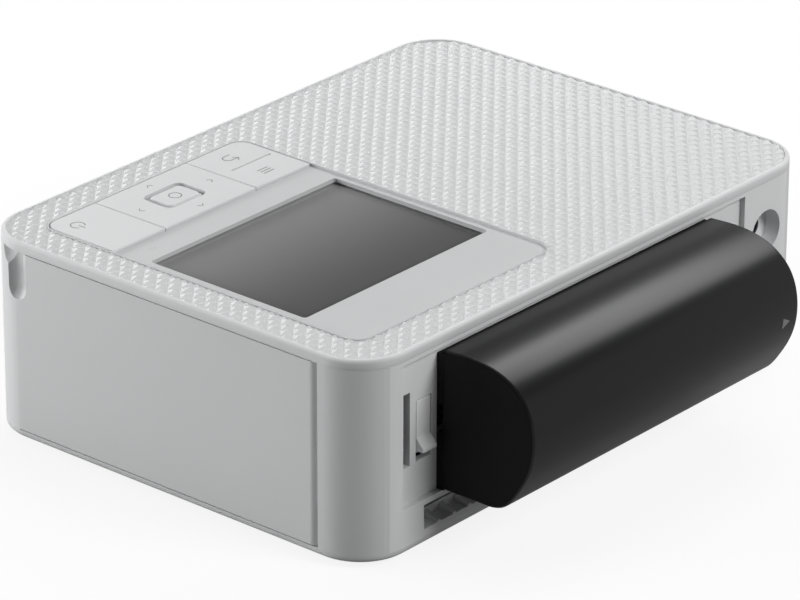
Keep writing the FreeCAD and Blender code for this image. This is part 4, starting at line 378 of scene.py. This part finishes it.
EDGE_RADII = {
    "ink_door": 0.1, "front_fascia": 0.12, "main_case": 0.1, "rear_panel": 0.08, "base_plate": 0.2,
    "front_flap": 0.2, "release_lever": 0.2, "control_panel": 0.12, "power_key": 0, "menu_back_key": 0,
    "nav_rocker": 0, "ok_key": 0, "dc_jack": 0, "battery_base": 0, "feet": 0,
}
skins = {node: softened(node, radius) for node, radius in EDGE_RADII.items()}
print("softened shells:", len(skins))

# %% [markdown]
# The back panel's two ends reach a few millimetres round the case's corners. The CAD panel is flat there,
# and the picture shows it flush with the corner. So the copy is cut across several times near each end,
# and every point that stands past the case's outline is brought back on to that circle.

# %% Ends of the back panel follow the corner
BACK_END = node_box("rear_panel")[1][0]
FLAT_HALF = HALF - CORNER
CUTS = 9
SHORT_OF_END = 0.1
back_mesh = skins["rear_panel"].data
shape = bmesh.new()
shape.from_mesh(back_mesh)
for cut in np.linspace(FLAT_HALF, BACK_END - SHORT_OF_END, CUTS):
    for side in (-1, 1):
        bmesh.ops.bisect_plane(shape, geom=shape.verts[:] + shape.edges[:] + shape.faces[:], dist=1e-7,
                               plane_co=(side * cut * MM, 0, 0), plane_no=(1, 0, 0))
shape.to_mesh(back_mesh)
shape.free()
back_points = read_points(back_mesh)
round_part = np.clip(np.abs(back_points[:, 0]) - FLAT_HALF, 0.0, CORNER)
outline_y = DEEP - CORNER + np.sqrt(CORNER ** 2 - round_part ** 2)
back_points[:, 1] = np.minimum(back_points[:, 1], outline_y)
write_points(back_mesh, back_points)
print("back panel ends at", BACK_END.round(2), "points:", len(back_points))

# %% [markdown]
# The lid's rim
#
# The lid's edge is one profile carried round the case's outline. The outline is a rounded rectangle: four
# quarter circles whose centres never move. A point of the surface is its corner's centre plus (radius minus
# inset) along the direction of its angle, at the profile's height. The same centres serve every inset, so
# the fillet keeps its shape round the corners. A small tongue under the rim fills the seam's depth.


# %% Outline and rim
def corner_run(half_x, half_y, radius, steps=20):
    """Centres and directions once round a rounded rectangle, a quarter turn at each corner."""
    turn = np.linspace(0, math.pi / 2, steps)
    angle = (turn[None, :] + np.arange(4)[:, None] * math.pi / 2).ravel()
    sign = np.array([[1, 1], [-1, 1], [-1, -1], [1, -1]]).repeat(steps, axis=0)
    centre = sign * np.array([half_x - radius, half_y - radius])
    return centre, np.stack([np.cos(angle), np.sin(angle)], axis=1)


def carry_round(profile, half_x, half_y, radius, middle=(0.0, 0.0), steps=20):
    """A closed profile of (inset, height) points carried round a rounded rectangle: points and faces."""
    profile = np.asarray(profile, dtype=float)
    centre, way = corner_run(half_x, half_y, radius, steps)
    flat = centre[None] + (radius - profile[:, 0])[:, None, None] * way[None] + np.array(middle)
    high = np.broadcast_to(profile[:, 1][:, None, None], (*flat.shape[:2], 1))
    ring = np.concatenate([flat, high], axis=2)
    ring = np.concatenate([ring, ring[:1]])
    rows, columns = ring.shape[:2]
    return ring.reshape(-1, 3), grid_faces(rows, columns, wrap=True)


def arc(centre, radius, start, end, steps=24):
    """Points of an arc in a plane, angles in degrees."""
    angle = np.radians(np.linspace(start, end, steps))
    return np.stack([centre[0] + radius * np.cos(angle), centre[1] + radius * np.sin(angle)], axis=1)


# %% The rim's own profile
LATTICE_INSET = 1.25
RIM_FILLET = 1.0
RIM_WIDTH = 2.0
SMALL_ROUND = 0.06
TONGUE_INSET = 0.42
TONGUE_LOW = RIM_LOW - 0.24
rim_profile = np.concatenate([
    [(TONGUE_INSET, TONGUE_LOW), (TONGUE_INSET, RIM_LOW), (SMALL_ROUND, RIM_LOW),
     (SMALL_ROUND / 3, RIM_LOW + SMALL_ROUND / 3), (0.0, RIM_LOW + SMALL_ROUND)],
    arc((RIM_FILLET, TOP - RIM_FILLET), RIM_FILLET, 180, 90, 8),
    [(LATTICE_INSET - SMALL_ROUND, TOP), (LATTICE_INSET, TOP - SMALL_ROUND),
     (LATTICE_INSET, TOP - RIM_FILLET), (RIM_WIDTH, TOP - RIM_FILLET), (RIM_WIDTH, TONGUE_LOW)],
])
rim_points, rim_faces = carry_round(rim_profile, HALF, DEEP, CORNER)
lid_rim = outward(make_piece("lid_rim", rim_points, rim_faces, "printer", rim_plastic))
print("rim points:", len(rim_points))

# %% [markdown]
# The lid's raised lattice
#
# The lid is covered by low four-sided pyramids, two to each cell of about 5.2 by 4.2 mm, a little over half
# a millimetre high. Measure x in half pitches and y in half pitches, and call a half their sum and b half
# their difference: then the height is 1 minus twice the larger distance of a and b from their nearest
# whole numbers. That makes the ridges run along x and y, and the grooves along the diagonals. The phase is
# the place of one peak, found from the rows of grooves in the picture.

# %% Height of the lattice
PITCH_X, PITCH_Y = 5.17, 4.22
LATTICE_PHASE = (1.27, 0.32)
LATTICE_DEPTH = 0.58
WELL_LOW, WELL_HIGH = node_box("control_panel")
WELL_HALF = (WELL_HIGH - WELL_LOW)[:2] / 2
WELL_MIDDLE = (WELL_HIGH + WELL_LOW)[:2] / 2
WELL_CORNER = 4.5
WELL_RIM = (0.14, 0.52)


def lattice_height(x, y):
    """Height of the pyramids above their grooves, from 0 to 1."""
    s = (x - LATTICE_PHASE[0]) / (PITCH_X / 2)
    t = (y - LATTICE_PHASE[1]) / (PITCH_Y / 2)
    a = (s + t) / 2
    b = (s - t) / 2
    return 1.0 - 2.0 * np.maximum(np.abs(a - np.round(a)), np.abs(b - np.round(b)))


print("panel's opening:", (WELL_HALF * 2).round(2), "round", WELL_MIDDLE.round(2))

# %% [markdown]
# The lattice has to end at two rounded rectangles, the lid's outline and the panel's opening. How far a point
# lies outside one comes from how far it lies past the centre of the nearest corner along each axis.


# %% Distance to a rounded rectangle
def edge_distance(points, middle, half, radius):
    """Signed distance to a rounded rectangle, less than 0 inside, and the direction away from it."""
    local = points - middle
    q = np.abs(local) - (np.asarray(half) - radius)
    outside = np.maximum(q, 0.0)
    reach = np.linalg.norm(outside, axis=1)
    distance = reach + np.minimum(q.max(axis=1), 0.0) - radius
    along_axis = np.eye(2)[q.argmax(axis=1)]
    way = np.where((reach > 1e-9)[:, None], outside / np.maximum(reach, 1e-9)[:, None], along_axis)
    return distance, way * np.where(local < 0, -1.0, 1.0)


# %% [markdown]
# The grid's points are put so that ridges and grooves fall on its lines and diagonals: four steps to half a
# pitch. Where the grid crosses the lid's edge or the panel's opening, its outer points are moved on to that
# line. Each square is cut in two along the diagonal that a groove follows. Last, a skirt goes down from the
# border, so that the lattice has no open edge to look under.

# %% Grid of the lattice
STEPS_PER_HALF_PITCH = 4
step_x = PITCH_X / 2 / STEPS_PER_HALF_PITCH
step_y = PITCH_Y / 2 / STEPS_PER_HALF_PITCH
count_x = int(HALF / step_x) + 2
count_y = int(DEEP / step_y) + 2
index_x = np.arange(-count_x, count_x + 1)
index_y = np.arange(-count_y, count_y + 1)
grid_x, grid_y = np.meshgrid(index_x * step_x + LATTICE_PHASE[0], index_y * step_y + LATTICE_PHASE[1],
                             indexing="ij")
flat = np.stack([grid_x.ravel(), grid_y.ravel()], axis=1)
EDGE_GAP = 0.02
lid_half = (HALF - LATTICE_INSET - EDGE_GAP, DEEP - LATTICE_INSET - EDGE_GAP)
from_edge, edge_way = edge_distance(flat, np.zeros(2), lid_half, CORNER - LATTICE_INSET)
from_well, well_way = edge_distance(flat, WELL_MIDDLE, WELL_HALF + WELL_RIM[1], WELL_CORNER + WELL_RIM[1])
inside = (from_edge < -EDGE_GAP) & (from_well > EDGE_GAP)
flat = np.where((from_edge > 0)[:, None], flat - edge_way * from_edge[:, None], flat)
flat = np.where((from_well < 0)[:, None], flat - well_way * from_well[:, None], flat)
print("grid:", len(index_x), "by", len(index_y), "points")

# %% Triangles of the lattice
squares = grid_faces(len(index_x), len(index_y))[:, ::-1]
square_x = np.repeat(index_x[:-1], len(index_y) - 1)
square_y = np.tile(index_y[:-1], len(index_x) - 1)
cell = STEPS_PER_HALF_PITCH
half_pitches = np.floor_divide(square_x, cell) + np.floor_divide(square_y, cell)
falling = half_pitches % 2 == 0
one = np.where(falling[:, None], squares[:, [0, 1, 3]], squares[:, [0, 1, 2]])
two = np.where(falling[:, None], squares[:, [1, 2, 3]], squares[:, [0, 2, 3]])
triangles = np.concatenate([one, two])
triangles = triangles[inside[triangles].any(axis=1)]
used, renumbered = np.unique(triangles, return_inverse=True)
flat = flat[used]
triangles = renumbered.reshape(-1, 3)
height = TOP - LATTICE_DEPTH * (1.0 - lattice_height(flat[:, 0], flat[:, 1]))
print("lattice triangles:", len(triangles))

# %% Skirt down from the lattice's border
SKIRT_LOW = TOP - 1.1
sides = np.concatenate([triangles[:, [0, 1]], triangles[:, [1, 2]], triangles[:, [2, 0]]])
key = np.sort(sides, axis=1)
_, first, times = np.unique(key, axis=0, return_index=True, return_counts=True)
border = sides[first[times == 1]]
top_points = np.column_stack([flat, height])
skirt_points = np.column_stack([flat, np.full(len(flat), SKIRT_LOW)])
lattice_points = np.concatenate([top_points, skirt_points])
skirt = np.stack([border[:, 1], border[:, 0], border[:, 0] + len(flat), border[:, 1] + len(flat)], axis=1)
lattice_faces = [*triangles.tolist(), *skirt.tolist()]
lid_lattice = make_piece("lid_lattice", lattice_points, lattice_faces, "printer", lid_plastic,
                         crease=14)
shape = bmesh.new()
shape.from_mesh(lid_lattice.data)
bmesh.ops.delete(shape, geom=[v for v in shape.verts if not v.link_faces], context="VERTS")
shape.to_mesh(lid_lattice.data)
shape.free()
print("border edges:", len(border))

# %% [markdown]
# The lattice stops short of the panel's opening at a narrow plain rim, from 0.14 to 0.52 mm outside it.

# %% The plain rim round the panel's opening
WELL_CHAMFER = 0.07
WELL_TOP = TOP - 0.05
well_width = WELL_RIM[1] - WELL_RIM[0]
well_profile = [(0.0, SKIRT_LOW), (0.0, WELL_TOP - WELL_CHAMFER), (WELL_CHAMFER, WELL_TOP),
                (well_width - WELL_CHAMFER, WELL_TOP), (well_width, WELL_TOP - WELL_CHAMFER),
                (well_width, SKIRT_LOW)]
well_points, well_faces = carry_round(well_profile, *(WELL_HALF + WELL_RIM[1]), WELL_CORNER + WELL_RIM[1],
                                      WELL_MIDDLE)
well_rim = outward(make_piece("well_rim", well_points, well_faces, "printer", lid_plastic))
print("well rim points:", len(well_points))

# %% [markdown]
# Under the lattice the lid is a plain plate with a rim and a pin boss. That is the CAD solid, lowered at
# its top to lie just below the grooves and drawn in a hair at its sides, so that it never shows through.

# %% The lid's plate
PLATE_BELOW = 0.15
PLATE_INSIDE = 0.3
core_mesh = nodes["top_cover"].data.copy()
core_mesh.name = "lid_core"
core = read_points(core_mesh)
core[:, 2] = np.minimum(core[:, 2], TOP - LATTICE_DEPTH - PLATE_BELOW)
away, way_out = edge_distance(core[:, :2], np.zeros(2), (HALF - PLATE_INSIDE, DEEP - PLATE_INSIDE),
                              CORNER - PLATE_INSIDE)
core[:, :2] -= way_out * np.maximum(away, 0)[:, None]
write_points(core_mesh, core)
lid_core = place("lid_core", core_mesh, "printer")
for part_of_lid in (lid_core, lid_rim, lid_lattice, well_rim):
    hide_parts("top_cover")
print("plate points:", len(core))

# %% [markdown]
# The battery pack's skin
#
# The pack is a D in section: a flat underside, a tight bend, a steep outer face and a long rounded
# shoulder. Nine measured points give the section, and a cubic spline through them keeps the curvature
# flowing, so that the long highlight has no kinks.


# %% A smooth section through a few points
def smooth_curve(points, count, start_way=None):
    """Points on the cubic spline with continuous curvature through the given ones, spaced by chord."""
    points = np.asarray(points, dtype=float)
    knots = np.concatenate([[0.0], np.cumsum(np.linalg.norm(np.diff(points, axis=0), axis=1))])
    gap = np.diff(knots)
    n = len(points)
    system = np.zeros((n, n))
    wanted = np.zeros((n, points.shape[1]))
    slope = np.diff(points, axis=0) / gap[:, None]
    for i in range(1, n - 1):
        system[i, i - 1:i + 2] = gap[i - 1], 2 * (gap[i - 1] + gap[i]), gap[i]
        wanted[i] = 6 * (slope[i] - slope[i - 1])
    system[0, 0] = system[-1, -1] = 1.0
    if start_way is not None:
        system[0, :2] = 2 * gap[0], gap[0]
        wanted[0] = 6 * (slope[0] - np.asarray(start_way))
    curve = np.linalg.solve(system, wanted)
    at = np.linspace(0, knots[-1], count)
    i = np.clip(np.searchsorted(knots, at, side="right") - 1, 0, n - 2)
    h, left, rest = gap[i][:, None], (at - knots[i])[:, None], (knots[i + 1] - at)[:, None]
    return ((curve[i] * rest ** 3 + curve[i + 1] * left ** 3) / (6 * h)
            + (points[i] / h - curve[i] * h / 6) * rest + (points[i + 1] / h - curve[i + 1] * h / 6) * left)


# %% [markdown]
# The section is carried along x, and drawn in at both ends along a quarter circle for the rounded end
# edges. Its far end follows the picture's outline, 4.6 mm short of the CAD solid's, and the copy of the
# pack's base is brought back with it. The two flat ends are moulded rougher than the sides, so their faces
# get a second finish.

# %% Section of the pack
PACK_LOW, PACK_HIGH = node_box("battery_shell")
SHORTER = 4.6
PACK_LOW[0] += SHORTER
SECTION_SHARES = np.array([
    (0.48, 0.0), (0.665, 0.035), (0.8, 0.145), (0.942, 0.33), (1.0, 0.56), (0.894, 0.818),
    (0.64, 0.955), (0.27, 1.0), (0.0, 0.99)])
span = PACK_HIGH - PACK_LOW
bend = smooth_curve(PACK_LOW[1:] + SECTION_SHARES * span[1:], 96, start_way=(1.0, 0.0))
underside = np.linspace(PACK_LOW[1:], bend[0], 12)[:-1]
section = np.concatenate([underside, bend])
section[:, 0] = np.minimum(section[:, 0], PACK_HIGH[1])
section[:, 1] = np.clip(section[:, 1], PACK_LOW[2], PACK_HIGH[2])
ahead = np.roll(section, -1, axis=0) - np.roll(section, 1, axis=0)
ahead[0], ahead[-1] = section[1] - section[0], section[-1] - section[-2]
ahead /= np.linalg.norm(ahead, axis=1)[:, None]
inward = np.stack([-ahead[:, 1], ahead[:, 0]], axis=1)
print("section points:", len(section))

# %% The pack's skin
END_RADIUS = 0.9
turn = np.radians(np.linspace(0, 90, 7))
near_end = END_RADIUS * (1 - np.sin(turn))
drawn_in = END_RADIUS * (1 - np.cos(turn))
rings = [(PACK_LOW[0] + e, d) for e, d in zip(near_end[::-1], drawn_in[::-1])]
rings += [(PACK_HIGH[0] - e, d) for e, d in zip(near_end, drawn_in)]
pack_points = np.stack([
    np.column_stack([np.full(len(section), x), section + inward * d]) for x, d in rings])
pack_points[:, :, 1] = np.maximum(pack_points[:, :, 1], PACK_LOW[1])
rows, columns = pack_points.shape[:2]
pack_faces = [list(f) for f in grid_faces(rows, columns, wrap=True)]
pack_faces += [list(range(columns))[::-1], list(range((rows - 1) * columns, rows * columns))]
battery_skin = outward(make_piece("battery_skin", pack_points.reshape(-1, 3), pack_faces, "battery",
                                  battery_plastic, crease=28))
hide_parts("battery_shell")
battery_skin.data.materials.append(battery_end)
facing = np.empty(len(battery_skin.data.polygons) * 3)
battery_skin.data.polygons.foreach_get("normal", facing)
battery_skin.data.polygons.foreach_set("material_index", (np.abs(facing[::3]) > 0.9).astype(np.int32))
print("battery skin points:", rows * columns)

# %% The base's copy, brought back with the far end
BASE_SETBACK = 0.4
base_mesh = skins["battery_base"].data
base_points = read_points(base_mesh)
base_points[:, 0] = np.maximum(base_points[:, 0], PACK_LOW[0] + BASE_SETBACK)
write_points(base_mesh, base_points)
print("base from", base_points[:, 0].min().round(2), "to", base_points[:, 0].max().round(2))

# %% [markdown]
# Printed marks
#
# The keys carry small grey marks. A mark is a pen line: its middle line is a few points, and the line's two
# sides are those points moved half a width along the normal. Two copies of each side, one just under the
# key's top and one a few hundredths of a millimetre over it, make a closed strip. The marks here are
# generic: four chevrons, a power ring, a return arrow, three bars for the menu and a ring for confirm.


# %% Pen lines
def pen_line(path, width, low, high, closed=False):
    """Points and faces of a flat strip of a given width along a path, between two heights."""
    path = np.asarray(path, dtype=float)
    if closed:
        ahead = np.roll(path, -1, axis=0) - np.roll(path, 1, axis=0)
    else:
        ahead = np.gradient(path, axis=0)
    ahead /= np.linalg.norm(ahead, axis=1)[:, None]
    side = np.stack([-ahead[:, 1], ahead[:, 0]], axis=1) * width / 2
    loop = np.stack([path + side, path - side, path - side, path + side])
    heights = np.array([high, high, low, low])[:, None, None]
    points = np.concatenate([loop, np.broadcast_to(heights, (*loop.shape[:2], 1))], axis=2)
    points = points.transpose(1, 0, 2)
    if closed:
        points = np.concatenate([points, points[:1]])
    faces = [list(f) for f in grid_faces(len(points), 4, wrap=True)]
    if not closed:
        last = (len(points) - 1) * 4
        faces += [[3, 2, 1, 0], [last, last + 1, last + 2, last + 3]]
    return points.reshape(-1, 3), faces


MARK_OVER = 0.02
MARK_UNDER = 0.05


def mark(name, lines, body, width, closed=False):
    """One printed mark of several pen lines, riding on a key; the width is in millimetres."""
    points, faces = [], []
    for path in lines:
        more, squares_of_line = pen_line(path, width, TOP - MARK_UNDER, TOP + MARK_OVER, closed)
        faces += [[i + len(points) for i in f] for f in squares_of_line]
        points += more.tolist()
    return outward(make_piece(name, points, faces, body, ink_mark))


# %% The marks on the keys
CHEVRON = np.array([(-1.0, -0.5), (0.0, 0.5), (1.0, -0.5)])
CHEVRON_SPOTS = ((42.5, -32.5), (28.9, -41.7), (42.4, -51.4), (55.4, -42.1))
chevrons = []
for quarter_turns, spot in enumerate(CHEVRON_SPOTS):
    angle = quarter_turns * math.pi / 2
    turned = CHEVRON @ np.array([[math.cos(angle), math.sin(angle)], [-math.sin(angle), math.cos(angle)]])
    chevrons.append(turned + spot)
power_lines = [arc((73.1, -48.0), 1.9, 125, 415), [(73.1, -47.6), (73.1, -45.3)]]
arrow_lines = [
    np.concatenate([[(12.6, -46.6), (15.0, -46.6)], arc((15.0, -48.1), 1.5, 90, -90, 14), [(12.9, -49.6)]]),
    [(13.7, -45.4), (12.5, -46.6), (13.7, -47.8)]]
bar_lines = [[(12.2, y), (16.2, y)] for y in (-36.5, -35.3, -34.1)]
ring_lines = [arc((42.3, -42.05), 1.7, 0, 360, 37)[:-1]]
key_marks = [
    mark("chevrons", chevrons, "nav_rocker", 0.32),
    mark("power_ring", power_lines, "power_key", 0.34),
    mark("return_arrow", arrow_lines, "menu_back_key", 0.34),
    mark("menu_bars", bar_lines, "menu_back_key", 0.36),
    mark("confirm_ring", ring_lines, "ok_key", 0.34, closed=True),
]
print("marks on the keys:", len(key_marks))

# %% [markdown]
# The battery pack has one small triangle near its far end, which shows the way it slides on. It lies on a
# curved wall, so it is a grid of points between two edges that run together at the tip: each row has its
# own height, and takes the wall's place at that height from the section.

# %% Slide mark on the battery
MARK_LOW, MARK_HIGH = np.array([-40.4, 31.6]), np.array([-40.4, 34.7])
MARK_TIP = np.array([-43.4, 33.1])
share = np.linspace(0, 1, 9)
row_z = MARK_LOW[1] + share * (MARK_HIGH[1] - MARK_LOW[1])
reach_of_row = np.interp(row_z, [MARK_LOW[1], MARK_TIP[1], MARK_HIGH[1]], [0.03, 1.0, 0.03])
order = np.argsort(bend[:, 1])
wall_y = np.interp(row_z, bend[order, 1], bend[order, 0])
start_x = MARK_LOW[0] + share * (MARK_HIGH[0] - MARK_LOW[0])
end_x = start_x + reach_of_row * (MARK_TIP[0] - MARK_LOW[0])
around = ((start_x, MARK_OVER), (end_x, MARK_OVER), (end_x, -MARK_UNDER), (start_x, -MARK_UNDER))
rows_of_mark = np.stack([np.column_stack([x, wall_y + lift, row_z]) for x, lift in around], axis=1)
last = (len(share) - 1) * 4
mark_faces = [*grid_faces(len(share), 4, wrap=True).tolist(), [3, 2, 1, 0],
              [last, last + 1, last + 2, last + 3]]
outward(make_piece("slide_mark", rows_of_mark.reshape(-1, 3), mark_faces, "battery",
                   white_mark))
print("slide mark rows:", len(row_z))

# %% [markdown]
# Screen
#
# The display lies a millimetre under a clear window. Switched off it is a neutral grey, with a painted
# reflection on it: the grey darkens from the keys towards the back. The painted reflection is a ramp along y
# in Object coordinates. The window over it is glass for the eye, and lets the lamps through unbent, so that
# they reach the display: a Mix Shader takes Transparent for shadow rays. A dark gasket lines the window's
# opening. The status lamp by the keys is a small frosted lens, not lit.

# %% Display
RAMP_AHEAD = 12.0
WINDOW_LOW, WINDOW_HIGH = node_box("display_window")
display, tree, shader = blank("switched-off display, painted reflection")
where = tree.nodes.new("ShaderNodeTexCoord")
apart = tree.nodes.new("ShaderNodeSeparateXYZ")
tree.links.new(where.outputs["Object"], apart.inputs["Vector"])
# Painted reflection: the display's grey is lighter near the keys and darkens towards the back.
painted_reflection_ramp = tree.nodes.new("ShaderNodeMapRange")
painted_reflection_ramp.interpolation_type = "SMOOTHSTEP"
painted_reflection_ramp.inputs["From Min"].default_value = (WINDOW_LOW[1] + SHIFT[1] - RAMP_AHEAD) * MM
painted_reflection_ramp.inputs["From Max"].default_value = (WINDOW_HIGH[1] + SHIFT[1]) * MM
tree.links.new(apart.outputs["Y"], painted_reflection_ramp.inputs["Value"])
painted_reflection_tone = tree.nodes.new("ShaderNodeMix")
painted_reflection_tone.data_type = "RGBA"
painted_reflection_tone.inputs["A"].default_value = (0.34, 0.34, 0.34, 1.0)
painted_reflection_tone.inputs["B"].default_value = (0.10, 0.10, 0.10, 1.0)
tree.links.new(painted_reflection_ramp.outputs["Result"], painted_reflection_tone.inputs["Factor"])
tree.links.new(painted_reflection_tone.outputs["Result"], shader.inputs["Base Color"])
shader.inputs["Roughness"].default_value = 0.4
dress("display_module", display)
print("display shaded from y", WINDOW_LOW[1].round(1), "to", WINDOW_HIGH[1].round(1))

# %% Window
window, tree, shader = blank("clear window")
shader.inputs["Base Color"].default_value = (0.97, 0.975, 0.975, 1.0)
shader.inputs["Transmission Weight"].default_value = 1.0
shader.inputs["Roughness"].default_value = 0.03
shader.inputs["IOR"].default_value = 1.46
let_through = tree.nodes.new("ShaderNodeBsdfTransparent")
ray = tree.nodes.new("ShaderNodeLightPath")
glass_or_none = tree.nodes.new("ShaderNodeMixShader")
tree.links.new(ray.outputs["Is Shadow Ray"], glass_or_none.inputs["Fac"])
tree.links.new(shader.outputs["BSDF"], glass_or_none.inputs[1])
tree.links.new(let_through.outputs["BSDF"], glass_or_none.inputs[2])
tree.links.new(glass_or_none.outputs["Shader"], tree.nodes["Material Output"].inputs["Surface"])
dress("display_window", window)
print("window:", (WINDOW_HIGH - WINDOW_LOW).round(2))

# %% Gasket
window_half = (WINDOW_HIGH - WINDOW_LOW)[:2] / 2
window_middle = (WINDOW_HIGH + WINDOW_LOW)[:2] / 2
GASKET = [(-0.02, WINDOW_HIGH[2] + 0.02), (-0.02, WINDOW_HIGH[2] + 0.95), (0.2, WINDOW_HIGH[2] + 0.9),
          (0.25, WINDOW_HIGH[2] + 0.02)]
gasket_points, gasket_faces = carry_round(GASKET, *window_half, 1.0, window_middle, steps=8)
outward(make_piece("window_gasket", gasket_points, gasket_faces, "printer", gasket_grey))
print("gasket points:", len(gasket_points))

# %% Status lamp
lamp_glass, tree, shader = blank("frosted lamp")
shader.inputs["Base Color"].default_value = (0.60, 0.61, 0.60, 1.0)
shader.inputs["Roughness"].default_value = 0.35
dress("status_lamp", lamp_glass)
print("status lamp at", node_box("status_lamp")[0].round(1))

# %% [markdown]
# Floor, background and light
#
# The printer stands on a plain pale floor. The camera, mirrors and glass see the floor and the world as the
# white background of a studio, and the object's shadow stays on the floor. For matt surfaces the world is
# nearly dark, and the floor gives back a third of the light, so that the soft lamps shape the object.

# %% Floor
floor_mesh = bpy.data.meshes.new("floor")
FLOOR_REACH = 3.0
floor_corners = [(x * FLOOR_REACH, y * FLOOR_REACH, 0) for x, y in ((-1, -1), (1, -1), (1, 1), (-1, 1))]
floor_mesh.from_pydata(floor_corners, (), [(0, 1, 2, 3)])
floor = bpy.data.objects.new("floor", floor_mesh)
bpy.context.scene.collection.objects.link(floor)
print("floor reaches", FLOOR_REACH, "m each way")

# %% [markdown]
# What a ray sees depends on its kind. Light Path gives 1 or 0 for each kind, and one Math node to each adds
# its share to what matt surfaces get. The floor's paint mixes its white that way, and the world its strength.


# %% Share of the background that each kind of ray sees
def seen_share(tree, plain, eye_share, mirror_share):
    """Plain for matt surfaces, plus a share for the camera and clear glass, and one for mirror rays."""
    ray = tree.nodes.new("ShaderNodeLightPath")
    total = None
    for output, share_of_ray in (("Is Camera Ray", eye_share), ("Is Transmission Ray", eye_share),
                                 ("Is Glossy Ray", mirror_share)):
        step = tree.nodes.new("ShaderNodeMath")
        step.operation = "MULTIPLY_ADD"
        step.inputs[1].default_value = share_of_ray
        step.inputs[2].default_value = plain
        tree.links.new(ray.outputs[output], step.inputs[0])
        if total:
            tree.links.new(total, step.inputs[2])
        total = step.outputs["Value"]
    step.use_clamp = True
    return total


# %% Floor's paint
floor_paint, tree, shader = blank("pale floor")
shader.inputs["Roughness"].default_value = 0.9
shader.inputs["Specular IOR Level"].default_value = 0.1
white = tree.nodes.new("ShaderNodeEmission")
white.inputs["Strength"].default_value = 1.0
blend = tree.nodes.new("ShaderNodeMixShader")
tree.links.new(seen_share(tree, 0.0, 0.86, 0.12), blend.inputs["Fac"])
paint = tree.nodes.new("ShaderNodeMix")
paint.data_type = "RGBA"
paint.inputs["A"].default_value = (0.32, 0.32, 0.32, 1.0)
paint.inputs["B"].default_value = (0.95, 0.95, 0.95, 1.0)
ray = tree.nodes.new("ShaderNodeLightPath")
tree.links.new(ray.outputs["Is Camera Ray"], paint.inputs["Factor"])
tree.links.new(paint.outputs["Result"], shader.inputs["Base Color"])
tree.links.new(shader.outputs["BSDF"], blend.inputs[1])
tree.links.new(white.outputs["Emission"], blend.inputs[2])
tree.links.new(blend.outputs["Shader"], tree.nodes["Material Output"].inputs["Surface"])
floor_mesh.materials.append(floor_paint)
print("floor paint's nodes:", len(tree.nodes))

# %% World
world = bpy.data.worlds.new("studio")
world.use_nodes = True
bpy.context.scene.world = world
tree = world.node_tree
sky = tree.nodes["Background"]
sky.inputs["Color"].default_value = (1.0, 1.0, 1.0, 1.0)
SKY = 0.04
tree.links.new(seen_share(tree, SKY, 1.0 - SKY, 0.1), sky.inputs["Strength"])
print("world's nodes:", len(tree.nodes))

# %% [markdown]
# Each lamp is a rectangle aimed at the printer, given by the angles and the distance at which it stands.
# The left softbox lights the door, and a wall of light lights the back and the battery, which leaves the
# round corner between them darker. One high behind and one overhead rake over the lid. One over the
# battery draws its long highlight. A small low one is seen only in the left-hand slopes of the pyramids,
# and sets the rows of the lattice apart. The two strongest are hidden from mirror rays: seen from the far
# side, the screen and the keys would mirror them and turn white.

# %% Lamps
AIM = (0.0, 0.0, 0.03)


def soft_lamp(name, azimuth, elevation, distance, size, power, mirrored=True):
    """A soft lamp aimed at the object; angles in degrees, as the camera's, and lengths in metres."""
    a, e = math.radians(azimuth), math.radians(elevation)
    towards = np.array([math.sin(a) * math.cos(e), -math.cos(a) * math.cos(e), math.sin(e)])
    lamp = bpy.data.objects.new(name, bpy.data.lights.new(name, "AREA"))
    lamp.data.shape = "RECTANGLE"
    lamp.data.size, lamp.data.size_y = size
    lamp.data.energy = power
    lamp.visible_glossy = mirrored
    across_lamp = np.cross([0.0, 0.0, 1.0], towards)
    across_lamp /= np.linalg.norm(across_lamp)
    pose = np.eye(4)
    pose[:3] = np.column_stack([across_lamp, np.cross(towards, across_lamp), towards,
                                towards * distance + AIM])
    lamp.matrix_world = Matrix(pose.tolist())
    bpy.context.scene.collection.objects.link(lamp)


soft_lamp("left softbox", 37.0, 14.0, 1.05, (0.8, 0.55), 11.0, mirrored=False)
soft_lamp("high softbox behind the printer", 193.0, 38.0, 1.6, (0.6, 0.6), 15.5, mirrored=False)
soft_lamp("wall of light at the battery's side", 225.0, 14.0, 1.8, (3.0, 1.4), 4.0)
soft_lamp("softbox over the battery", 278.0, 46.0, 1.1, (0.62, 0.5), 4.0)
soft_lamp("overhead softbox", 315.0, 68.0, 1.0, (0.6, 0.6), 1.5)
soft_lamp("small softbox for the lattice", 329.0, 16.0, 1.3, (0.50, 0.32), 1.3)
print("lamps:", len(bpy.data.lights))
